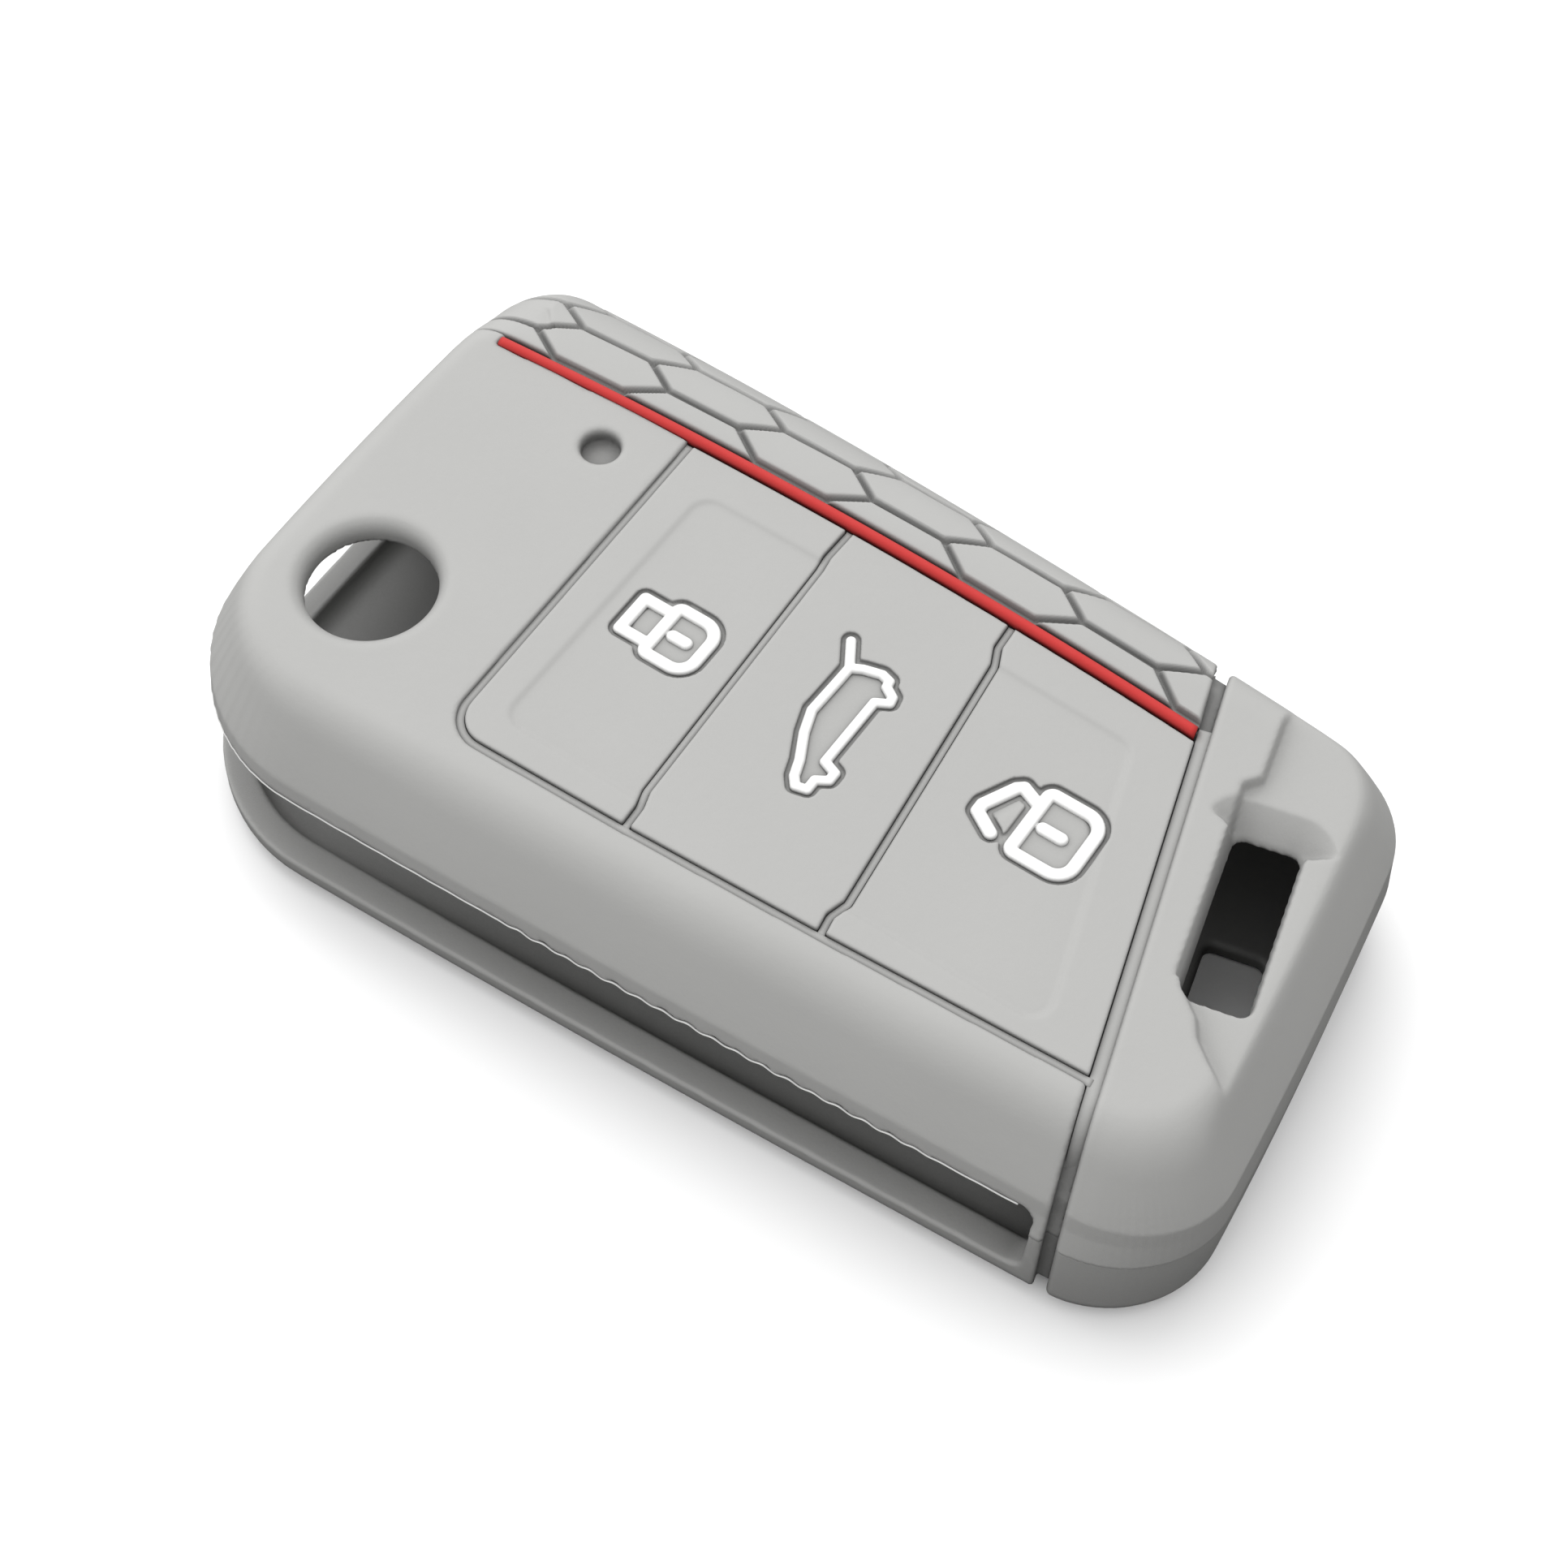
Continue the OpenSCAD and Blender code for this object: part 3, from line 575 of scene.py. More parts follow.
foot_arc = corner_arc(divider_1[0], divider_1[1], divider_2[5], PAD_CORNER, 12)
lock_area = np.vstack([divider_1[:1], foot_arc, divider_2[::-1]])
trunk_area = np.vstack([divider_2, divider_3[::-1]])
unlock_area = np.vstack([divider_3, [groove_point(foot_end[1]), groove_point(divider_1[0][1])]])
foot_line = np.vstack([divider_1[:1], foot_arc, divider_2[5:], divider_3[5:], [groove_point(foot_end[1])]])
panel_area = np.vstack([foot_line, [groove_point(divider_1[0][1])]])
panel_map = distance_to(panel_area, map_x, map_y)
print("panel of the pads", panel_area.min(0).round(2), "to", panel_area.max(0).round(2))

# %% [markdown]
# ## The front shell
#
# It is the skin, cut by the flip-button hole, the light recess, the recess of the pads, the seats of the
# bead and of the honeycomb, the end groove, and last of all its hollow and the blade slot. Each cut has the
# edge radius that the photograph shows.

# %% Front shell
RECESS_FOOT_Y = foot_end[1] - PAD_GROOVE / 2
TONGUE = GROOVE_WIDTH + 0.15
LIP_EDGE, SEAM_EDGE, GROOVE_EDGE = 0.2, 0.2, 0.3
LIGHT_EDGE, RECESS_EDGE, SEAT_EDGE, PANEL_EDGE = 0.5, 0.2, 0.12, 0.2


def pad_recess(x, y, z):
    """Inside of the pads' recess, above its floor: the panel's line this side of the bead, and on through
    the end groove."""
    beyond = np.maximum(-across_groove(x, y), RECESS_FOOT_Y - y)
    area = np.minimum(read_map(panel_map, x, y) - PAD_GROOVE / 2, beyond)
    return np.minimum(-np.maximum(area, beyond_stripe(x, y) + STRIPE_WIDTH / 2), z - RECESS_Z)


def front_shell(x, y, z):
    """The skin with every recess cut out of it, then its hollow, the slot and the seam."""
    skin = front_skin(x, y, z)
    across = across_groove(x, y)
    stripe = beyond_stripe(x, y)
    light = np.minimum(LIGHT_RADIUS - from_axis(LIGHT_PLACE, x, y), z - FACE_Z + LIGHT_DEPTH)
    seat = np.minimum(np.minimum(stripe + STRIPE_WIDTH / 2, z - FACE_Z + STRIPE_SEAT), x - STRIPE_START_X)
    panel = np.minimum(stripe - STRIPE_WIDTH / 2 - STRIPE_GAP, z - GRIP_LOW_Z)
    solid = cut(skin, FLIP_RADIUS - from_axis(FLIP_PLACE, x, y), FLIP_RIM)
    solid = cut(solid, light, LIGHT_EDGE)
    solid = cut(solid, pad_recess(x, y, z), RECESS_EDGE)
    solid = cut(solid, seat, SEAT_EDGE)
    solid = cut(solid, np.minimum(panel, skin + GROOVE_DEPTH), PANEL_EDGE)
    solid = cut(solid, np.minimum(across, skin + GROOVE_DEPTH), GROOVE_EDGE)
    for place in (LOCK_PLACE, TRUNK_PLACE, UNLOCK_PLACE):
        solid = np.maximum(solid, PLUNGER_RADIUS + PLUNGER_CLEARANCE - from_axis(place, x, y))
    solid = np.maximum(solid, -(skin + WALL))
    solid = cut(solid, -blade_slot(x, y, z), LIP_EDGE)
    solid = cut(solid, PARTING_Z - z, SEAM_EDGE)
    return np.maximum(solid, across - TONGUE)


SHELL_STEP = 0.26
SHELL_PLAN, FRONT_HEIGHTS, BACK_HEIGHTS = ((-42.6, -25.6), (34.6, 25.6)), (7.2, 18.2), (-0.5, 8.2)
front_piece = moulded("front_shell_soft", SHELL_PLAN, FRONT_HEIGHTS, SHELL_STEP, front_shell)

# %% [markdown]
# ## The back shell
#
# The tray-shaped back half stands in a little from the front half at the seam, so the seam shows as a fine
# step.

# %% Back shell
def back_shell(x, y, z):
    """The back skin with the end groove, its hollow, the slot and the seam cut out of it."""
    skin = back_skin(x, y, z)
    across = across_groove(x, y)
    solid = cut(skin, np.minimum(across, skin + GROOVE_DEPTH), GROOVE_EDGE)
    solid = np.maximum(solid, -back_hollow(x, y, z))
    solid = cut(solid, -blade_slot(x, y, z), LIP_EDGE)
    solid = cut(solid, z - PARTING_Z, SEAM_EDGE)
    return np.maximum(solid, across - TONGUE)


back_piece = moulded("back_shell_soft", SHELL_PLAN, BACK_HEIGHTS, SHELL_STEP, back_shell)

# %% [markdown]
# ## The key-ring end
#
# Its front half has a shelf round the key-ring slot: inside the shelf's line the face is 0.8 mm lower, and
# the step between the two heights is soft.

# %% Key-ring end
shelf_line = on_face([[0.675, 1.1], [0.677, 0.67], [0.703, 0.47], [0.683, 0.424], [0.706, 0.28],
                      [0.785, -0.2], [0.829, -0.256], [0.848, -0.305], [0.88, -0.346], [0.916, -0.386],
                      [0.988, -0.427], [1.1, -0.44], [1.1, 1.1]])
shelf_map = distance_to(shelf_line, map_x, map_y)
SHELF_SOFTNESS, SHELF_STEP = 0.3, (-0.35, 0.25)
MOUTH_DEPTH, MOUTH_SIDE, MOUTH_END = 1.6, 0.75, 2.4
MOUTH_ACROSS, MOUTH_FOOT, MOUTH_TOP = (-0.6, 0.6), (-6.3, -5.6), (5.6, 7.0)
MOUTH_WALL = (0.8, 2.4)
CAP_GROOVE_EDGE, RING_SLOT_EDGE = 0.4, 0.45


def shelf_heights():
    """Inside the shelf's line: plane + (over - sqrt(over^2 + softness^2)) / 2, where over is the face's
    height over the shelf's plane. Round the slot's near side and end a mouth falls by depth * (1 - distance
    / width)."""
    over = height_map - (FACE_Z - SHELF_DEPTH)
    low = FACE_Z - SHELF_DEPTH + (over - np.sqrt(over ** 2 + SHELF_SOFTNESS ** 2)) / 2
    heights = height_map + (low - height_map) * blend_step(*SHELF_STEP, -shelf_map)
    across, along = in_slot_frame(map_x, map_y)
    near_side = (1 - blend_step(*MOUTH_ACROSS, across)) * blend_step(*MOUTH_FOOT, along)
    width = np.maximum(MOUTH_SIDE * near_side, MOUTH_END * blend_step(*MOUTH_TOP, along))
    share = np.clip(ring_slot(map_x, map_y) / np.maximum(width, 0.05), 0, 1)
    return heights - MOUTH_DEPTH * (1 - share)


cap_height_map = shelf_heights()
cap_slope = slope_length(cap_height_map)


def ring_cap(skin, hollow, x, y):
    """A skin beyond the end groove, less its hollow and the slot for the key ring."""
    solid = cut(skin, GROOVE_WIDTH - across_groove(x, y), CAP_GROOVE_EDGE)
    return cut(np.maximum(solid, -hollow), -ring_slot(x, y), RING_SLOT_EDGE)


def ring_cap_front(x, y, z):
    """Front half of the end. Its wall is thicker near the slot, where the mouth takes some away."""
    thicker = MOUTH_SIDE * (1 - blend_step(*MOUTH_WALL, ring_slot(x, y)))
    hollow = front_skin(x, y, z) + WALL + thicker
    skin = front_skin(x, y, z, cap_height_map, cap_slope)
    return cut(ring_cap(skin, hollow, x, y), PARTING_Z - z, SEAM_EDGE)


def ring_cap_back(x, y, z):
    """Back half of the end, below the seam."""
    return cut(ring_cap(back_skin(x, y, z), back_hollow(x, y, z), x, y), z - PARTING_Z, SEAM_EDGE)


CAP_STEP = 0.2
CAP_PLAN = ((21.0, -22.4), (42.6, 23.0))
cap_front_piece = moulded("ring_cap_front_soft", CAP_PLAN, FRONT_HEIGHTS, CAP_STEP, ring_cap_front)
cap_back_piece = moulded("ring_cap_back_soft", CAP_PLAN, BACK_HEIGHTS, CAP_STEP, ring_cap_back)

# %% [markdown]
# ## The icons
#
# Each icon is a raised bead of white silicone in a pocket of its pad. In plan it is a set of lines, and the
# bead is everything nearer to them than half the stroke. The padlocks stand a little off their plungers.

# %% Icon lines
ICON_STROKE, CAR_STROKE = 1.0, 0.78
ICON_SEAT, ICON_RISE, ICON_CLEARANCE = 0.32, 0.06, 0.3
ICON_EDGE, ICON_FOOT_EDGE, ICON_CROWN, ICON_SHOULDER = 0.18, 0.03, 0.7, 0.4
BODY_RADII, BAR_SHARE = [0.4, 1.3, 1.3, 0.4], 0.45
LOCK_MOVE, UNLOCK_MOVE = [0.87, 0.07], [1.34, -0.15]
LOCK_BODY, LOCK_SHACKLE = (3.5, 4.4), (2.4, 3.0)
UNLOCK_BODY, UNLOCK_SHACKLE = (4.2, 5.3), (3.3, 4.0)
CAR_SIZE = np.array([4.1, 10.7])


def body_lines(size):
    """Padlock body, square towards the shackle and round towards the ring end, and the bar inside it."""
    half = size[1] / 2
    ring = rounded([[0, -half], [size[0], -half], [size[0], half], [0, half]], BODY_RADII, 8)
    bar = np.array([[ICON_STROKE, 0], [ICON_STROKE / 2 + size[0] * BAR_SHARE, 0]])
    return [(ring, True), (bar, False)]


shackle = np.array([[-LOCK_SHACKLE[0], -LOCK_SHACKLE[1] / 2], [0, -LOCK_SHACKLE[1] / 2],
                    [0, LOCK_SHACKLE[1] / 2], [-LOCK_SHACKLE[0], LOCK_SHACKLE[1] / 2]])
open_shackle = np.array([[-0.1, 0.36], [-0.5, 0.5], [-0.62, 0.42], [-0.98, -0.16], [-0.98, -0.32],
                         [-0.5, -0.56]]) * UNLOCK_SHACKLE
car = np.array([[-0.463, 0.425], [-0.256, 0.467], [0.061, 0.5], [0.232, 0.481], [0.256, 0.435],
                [0.451, 0.388], [0.476, 0.341], [0.256, 0.294], [0.244, -0.248], [0.5, -0.285],
                [0.5, -0.35], [0.305, -0.397], [0.305, -0.481], [0.11, -0.5], [-0.012, -0.444],
                [-0.11, -0.332], [-0.354, -0.145], [-0.5, 0.023], [-0.476, 0.257]]) * CAR_SIZE
tailgate = np.array([[-0.463, 0.425], [-0.744, 0.603]]) * CAR_SIZE
icon_lines = {
    "lock": (LOCK_PLACE - LOCK_MOVE, ICON_STROKE, body_lines(LOCK_BODY) + [(shackle, True)]),
    "trunk": (TRUNK_PLACE, CAR_STROKE, [(car, True), (tailgate, False)]),
    "unlock": (UNLOCK_PLACE - UNLOCK_MOVE, ICON_STROKE, body_lines(UNLOCK_BODY) + [(open_shackle, False)]),
}
plungers = {"lock": LOCK_PLACE, "trunk": TRUNK_PLACE, "unlock": UNLOCK_PLACE}


def icon_edge(icon, x, y, filled=False):
    """Distance to the edge of the icon's stroke: distance to its nearest line, less half the stroke.
    Filled, it takes in the inside of the closed lines too."""
    place, stroke, lines = icon_lines[icon]
    flat_x, flat_y = np.broadcast_arrays(x - place[0], y - place[1])
    near = [distance_to(line, flat_x, flat_y, closed) for line, closed in lines]
    return np.minimum.reduce(near if filled else np.abs(near)) - stroke / 2


# %% Maps of the icons' pockets
POCKET_LOW, POCKET_CELLS, FAR_OFF = [5.5, 8.5], (56, 84), 3.0
pocket_maps = {}
for icon, (place, stroke, lines) in icon_lines.items():
    i, j = ((place - POCKET_LOW - MAP_LOW) // MAP_STEP).astype(int)
    block = (slice(i, i + POCKET_CELLS[0]), slice(j, j + POCKET_CELLS[1]))
    field = np.full(MAP_SHAPE, FAR_OFF)
    field[block] = icon_edge(icon, map_x[block], map_y[block], filled=True)
    pocket_maps[icon] = field
print("icons:", list(pocket_maps))

# %% [markdown]
# The open shackle is sunk inside as well, and its floor climbs back to the pad's top towards its open end.

# %% Inside of the open shackle
SINK_EDGE, SINK_CLIMB = (0, 0.2), (0.2, 1.6)
unlock_x, unlock_y = icon_lines["unlock"][0]
shackle_x, shackle_y = map_x - unlock_x, map_y - unlock_y
mouth_line = open_shackle[[-1, 0]]
shackle_inside = -distance_to(open_shackle, shackle_x, shackle_y)
from_mouth = distance_to(mouth_line, shackle_x, shackle_y, closed=False)
shackle_sink = ICON_SEAT * blend_step(*SINK_EDGE, shackle_inside) * blend_step(*SINK_CLIMB, from_mouth)
print("shackle's inside sinks by", shackle_sink.max().round(2), "mm")

# %% [markdown]
# ## The pads
#
# A pad is a thin plate with round edges, a plunger underneath, and a pocket for its icon. The outer two
# pads are dished: a soft rectangle in their middle lies a little lower.

# %% Pads
DISH_DEPTH, DISH_EDGE, DISH_CORNERS = 0.15, 0.3, [1.5, 1.5, 1.5, 1.5]
PAD_EDGE, PLATE_EDGE, POCKET_EDGE, PLUNGER_EDGE = 0.17, 0.1, 0.08, 0.3
PLUNGER_TOP_Z = FACE_Z - 0.4
pad_areas = {"lock": lock_area, "trunk": trunk_area, "unlock": unlock_area}
dish_lines = {
    "lock": on_face([[-0.361, 0.394], [-0.361, -0.545], [0, -0.545], [0, 0.394]]),
    "unlock": on_face([[0.1, 0.38], [0.1, -0.506], [0.652, -0.506], [0.5, 0.355]]),
}
dish_maps = {}
for icon, line in dish_lines.items():
    inside = -distance_to(rounded(line, DISH_CORNERS), map_x, map_y)
    dish_maps[icon] = DISH_DEPTH * blend_step(-DISH_EDGE, DISH_EDGE, inside)
icon_drop = {name: DISH_DEPTH if name in dish_lines else 0 for name in pad_areas}
sunk_maps = {"lock": dish_maps["lock"], "trunk": 0 * map_x, "unlock": dish_maps["unlock"] + shackle_sink}


def pad_distance(icon):
    """Distance to one pad, as a function of x, y and z."""
    area_map = distance_to(pad_areas[icon], map_x, map_y)
    place = plungers[icon]

    def distance(x, y, z):
        top = z - FACE_Z + read_map(sunk_maps[icon], x, y)
        edge = np.maximum(read_map(area_map, x, y) + PAD_GROOVE / 2,
                          beyond_stripe(x, y) + STRIPE_WIDTH / 2 + STRIPE_GAP)
        plate = cut(cut(top, edge, PAD_EDGE), FACE_Z - PAD_THICKNESS - z, PLATE_EDGE)
        pocket = np.minimum(ICON_CLEARANCE - read_map(pocket_maps[icon], x, y),
                            z - FACE_Z + icon_drop[icon] + ICON_SEAT)
        plate = cut(plate, pocket, POCKET_EDGE)
        middle, half = (PLUNGER_TOP_Z + PLUNGER_END_Z) / 2, (PLUNGER_TOP_Z - PLUNGER_END_Z) / 2
        plunger = cut(from_axis(place, x, y) - PLUNGER_RADIUS, np.abs(z - middle) - half, PLUNGER_EDGE)
        return np.minimum(plate, plunger)

    return distance


PAD_STEP = 0.13
ROOM = 0.3
pad_pieces = {}
for icon, area in pad_areas.items():
    plan, heights = (area.min(0) - ROOM, area.max(0) + ROOM), (PLUNGER_END_Z - ROOM, FACE_Z + ROOM)
    pad_pieces[icon] = moulded(icon + "_pad_soft", plan, heights, PAD_STEP, pad_distance(icon))

# %% Icons
ICON_STEP = 0.075
ICON_LOW, ICON_HIGH, ICON_FLOOR_Z = [5, 8], [6, 8], FACE_Z - 0.6


def icon_distance(icon):
    """Distance to one icon: its stroke up to a top that falls by crown * (how far out past its
    shoulder)^2."""
    def distance(x, y, z):
        side = icon_edge(icon, x, y)
        rise = z - FACE_Z + icon_drop[icon]
        top = rise - ICON_RISE + ICON_CROWN * np.maximum(side + ICON_SHOULDER, 0) ** 2
        return cut(cut(side, top, ICON_EDGE), -ICON_SEAT - rise, ICON_FOOT_EDGE)

    return distance


icon_pieces = {}
for icon, (place, stroke, lines) in icon_lines.items():
    plan, heights = (place - ICON_LOW, place + ICON_HIGH), (ICON_FLOOR_Z, FACE_Z + ROOM)
    icon_pieces[icon] = moulded(icon + "_icon_bead", plan, heights, ICON_STEP, icon_distance(icon))

# %% [markdown]
# ## The red bead
#
# Its shape is one profile carried along a path: a half-round top on straight sides, along an arc of a very
# large circle. The far end is cut at the slant of the end groove, so each line of the profile ends where it
# meets that slant.

# %% Red bead
def carried(profile, path_x, end_shift):
    """Surface points x(u, v), y(u, v), z(v): a profile of (outward, height) carried along the bead's arc.
    Each path place moves by the shift of its line in proportion to how near the far end it is."""
    u = np.linspace(0, 1, len(path_x))[:, None]
    x = path_x[:, None] + u * end_shift[None, :]
    turn = np.arccos((x - STRIPE_CENTRE[0]) / STRIPE_RADIUS)
    r = STRIPE_RADIUS + profile[None, :, 0]
    return np.stack([STRIPE_CENTRE[0] + r * np.cos(turn), STRIPE_CENTRE[1] + r * np.sin(turn),
                     np.broadcast_to(profile[None, :, 1], x.shape)], 2)


def ring_faces(rows, columns):
    """Faces of a grid whose columns close on themselves. The ends are left to close_ends."""
    i, j = np.meshgrid(np.arange(rows - 1), np.arange(columns), indexing="ij")
    a, b = i * columns + j, i * columns + (j + 1) % columns
    return np.stack([a, b, b + columns, a + columns], 2).reshape(-1, 4)


def close_ends(points, faces, rows, columns):
    """Adds a middle point to each end of a closed sweep, and the faces from it to the end's edge."""
    first, last = points[:columns].mean(0), points[-columns:].mean(0)
    points = np.vstack([points, first, last])
    j = np.arange(0, columns, 2)
    k, n = (j + 1) % columns, (j + 2) % columns
    top = (rows - 1) * columns
    start = np.stack([np.full(len(j), len(points) - 2), n, k, j], 1)
    end = np.stack([np.full(len(j), len(points) - 1), top + j, top + k, top + n], 1)
    return points, np.vstack([faces, start, end])


BEAD_OVER, BEAD_CHAMFER, BEAD_ENDS = 0.03, 0.1, (STRIPE_START_X + 0.05, 23.62)


def add_stripe():
    """Profile of the bead, a half circle on straight sides with a chamfer below, carried along its arc."""
    half = STRIPE_WIDTH / 2 + BEAD_OVER
    turn = np.linspace(0, math.pi, 13)
    top = np.column_stack([half * np.cos(turn), FACE_Z + STRIPE_RISE - half + half * np.sin(turn)])
    low, b = FACE_Z - STRIPE_SEAT, BEAD_CHAMFER
    foot = [[-half, low + b], [-half + b, low], [half - b, low], [half, low + b],
            [half, (low + b + top[0, 1]) / 2]]
    profile = np.vstack([top, foot])
    grid = carried(profile, np.linspace(*BEAD_ENDS, 160), -profile[:, 0] * math.tan(GROOVE_ANGLE))
    rows, columns = grid.shape[:2]
    points, faces = close_ends(grid.reshape(-1, 3), ring_faces(rows, columns), rows, columns)
    return put_mesh("red_bead", points, faces)


stripe_piece = add_stripe()
print("red bead", len(stripe_piece.data.polygons), "faces")

# %% [markdown]
# ## Thin skins round the pads, and the edge of the blade slot
#
# On the real cover each pad hangs in a thin skin of silicone at the bottom of the groove round it. The
# moulded upper lip of the blade slot has a fine line of flash, coloured pale as a painted highlight of the
# lip's edge. Both are a small profile carried along a line.

# %% Sweeping
def outward(line):
    """Unit normals of an open line, on its right-hand side."""
    t = np.gradient(line, axis=0)
    t /= np.hypot(t[:, 0], t[:, 1])[:, None]
    return np.column_stack([t[:, 1], -t[:, 0]])


def swept(line, heights, profile):
    """Closed surface p(u, v) = line(u) - outward(u) * side(v), height(u) + up(v), with both ends closed."""
    places = line[:, None, :] - outward(line)[:, None, :] * profile[None, :, :1]
    up = np.broadcast_to(heights, (len(line),))[:, None] + profile[None, :, 1]
    rows, columns = up.shape
    points = np.concatenate([places, up[..., None]], 2).reshape(-1, 3)
    return close_ends(points, ring_faces(rows, columns), rows, columns)


def joined(sweeps):
    """Points and faces of several closed surfaces as one mesh."""
    starts = np.cumsum([0] + [len(points) for points, _ in sweeps])
    return (np.vstack([points for points, _ in sweeps]),
            np.vstack([faces + start for (_, faces), start in zip(sweeps, starts)]))


# %% Skins round the pads
SKIN_DROP, SKIN_THICKNESS = 0.28, 0.3
SKIN_HALF, SKIN_INTO_SHELL = 0.27, 0.36
END_SKIN_DROP, END_SKIN_GAP, END_SKIN_FALL, END_SKIN_DIVE = 0.3, 0.04, 3.6, 1.0
SKIN_LAP, SKIN_STEP, SKIN_EDGE = 0.2, 0.03, 0.05
END_SKIN_SPAN = (-24, 12.6)


def strip_profile(low, high):
    """Flat bar from low to high on the left of its line, with slightly broken edges, below height zero."""
    b, t = SKIN_EDGE, SKIN_THICKNESS
    return np.array([[high, b - t], [high, -b], [high - b, 0], [low + b, 0],
                     [low, -b], [low, b - t], [low + b, -t], [high - b, -t]])


def below_bead(line):
    """The part of a line that lies this side of the bead."""
    return line[beyond_stripe(*line.T) < -STRIPE_WIDTH / 2 - SKIN_EDGE]


frame_line = below_bead(even(foot_line, 300, closed=False))
skins = [swept(frame_line, FACE_Z - SKIN_DROP, strip_profile(-SKIN_INTO_SHELL, SKIN_HALF))]
for divider in (divider_2, divider_3):
    line = below_bead(even(divider, 120, closed=False))
    last = line[-1] - line[-2]
    line = np.vstack([line, line[-1] + SKIN_LAP * last / np.hypot(*last)])
    skins.append(swept(line, FACE_Z - SKIN_DROP - SKIN_STEP, strip_profile(-SKIN_HALF, SKIN_HALF)))

# The last skin lies in the end groove, and dives to its floor where the face falls away.
end_y = np.linspace(*END_SKIN_SPAN, 160)
end_line = np.column_stack([GROOVE_X - end_y * math.tan(GROOVE_ANGLE), end_y])
end_line = end_line[read_map(height_map, *end_line.T) > FACE_Z - END_SKIN_FALL]
end_height = read_map(height_map, *end_line.T)
dive = END_SKIN_DROP + END_SKIN_DIVE * ((FACE_Z - end_height) / END_SKIN_FALL) ** 2
end_height = end_height - dive * read_map(height_slope, *end_line.T)
skins.append(swept(end_line, end_height, strip_profile(-TONGUE, -END_SKIN_GAP)))
skin_piece = put_mesh("pad_skins", *joined(skins))
print("skins round the pads", len(skin_piece.data.polygons), "faces")

# %% Edge of the blade slot
FLASH_RADIUS, FLASH_RISE, FLASH_INSET, FLASH_BLADE_INSET = 0.08, 0.02, 0.25, 0.95


def slot_edge():
    """Line of flash along the slot's lip, which carries the pale painted highlight of the lip's edge: the
    outline moved in as the wall is at that height.
    """
    line = even(np.roll(outline, -int(np.argmax(outline[:, 1])), axis=0), 1400)
    side = outward(line)
    inset = FLASH_INSET + FLASH_BLADE_INSET * np.maximum(0, -side[:, 1]) ** 2 + FLASH_RADIUS / 3
    line = line - side * inset[:, None]
    head = (line[:, 0] < 0) & (line[:, 1] < SLOT_HEAD_END - SLOT_CORNER)
    keep = head | ((line[:, 1] < 0) & (line[:, 0] < SLOT_SIDE_END - SLOT_CORNER))
    line = line[keep]
    turn = np.linspace(0, 2 * math.pi, 12, endpoint=False)
    profile = FLASH_RADIUS * np.column_stack([np.cos(turn), np.sin(turn)])
    return swept(line, LIP_Z + FLASH_RISE + lip_wave(line[:, 0]), profile)


# The flash ridge is real; its pale colour is a painted highlight along the lip's edge.
flash_highlight_piece = put_mesh("slot_flash_painted_highlight", *slot_edge())
print("flash on the slot's edge", len(flash_highlight_piece.data.polygons), "faces")

# %% [markdown]
# ## The honeycomb side
#
# The panel is a function of two parameters. One runs along it from the end groove, round the far corner, to
# the head end. The other climbs the wall from the seam, over the crease and across the roll-off to the red
# bead. Each point is then pushed in by the depth of the groove between the cells, which depends on its
# distance from the nearest edge of a hexagon. On the wall the hexagons go on as if the wall were folded out
# flat.

# %% Hexagon pattern
FIRST_CELL_X, FIRST_ROW = -28.4, 2.7
CELL_SIDE, CELL_TIP, CELL_WIDTH = 6.0, 2.8, 3.8
CELL_GROOVE, CELL_DEPTH, CELL_EDGE, CELL_FLOOR = 0.42, 0.62, 0.12, 0.02
PANEL_TIP, PANEL_RIM, PANEL_SEAT = 0.02, 0.3, 0.02
PANEL_FAR_Y = 12.6


def inside_cell(x, y):
    """Distance in from the edge of the hexagon that holds a point: the larger of its depths in the nearest
    cell of the two crossed rows. The rows follow the bead's arc: u = arc radius * sin(turn), v = distance
    beyond the arc. A depth is min(half width - |v|, distance to the slanted edge)."""
    side, tip, half = CELL_SIDE / 2, CELL_SIDE / 2 + CELL_TIP, CELL_WIDTH / 2
    pitch = 2 * (CELL_SIDE + CELL_TIP)
    slant = math.hypot(half, CELL_TIP)
    row = beyond_stripe(x, y)
    along = (x - STRIPE_CENTRE[0]) * STRIPE_RADIUS / (STRIPE_RADIUS + row)
    depths = []
    for shift in (0, 0.5):
        u = along - FIRST_CELL_X + STRIPE_CENTRE[0] - shift * pitch
        v = row - FIRST_ROW - shift * CELL_WIDTH
        u = np.abs(u - pitch * np.round(u / pitch))
        v = np.abs(v - CELL_WIDTH * np.round(v / CELL_WIDTH))
        depths.append(np.minimum(half - v, (half * (tip - u) - CELL_TIP * v) / slant))
    return np.maximum(*depths)


# %% Honeycomb surface
def far_boundary(count):
    """Outline from the end groove, anticlockwise round the far corner, to the line of the bead at the
    head."""
    keep = (across_groove(*outline.T) < 0) & (beyond_stripe(*outline.T) > STRIPE_WIDTH / 2 + STRIPE_GAP)
    start = int(np.argmax(keep & ~np.roll(keep, 1)))
    line = np.roll(outline, -start, axis=0)[:int(keep.sum())]
    return even(line, count, closed=False)


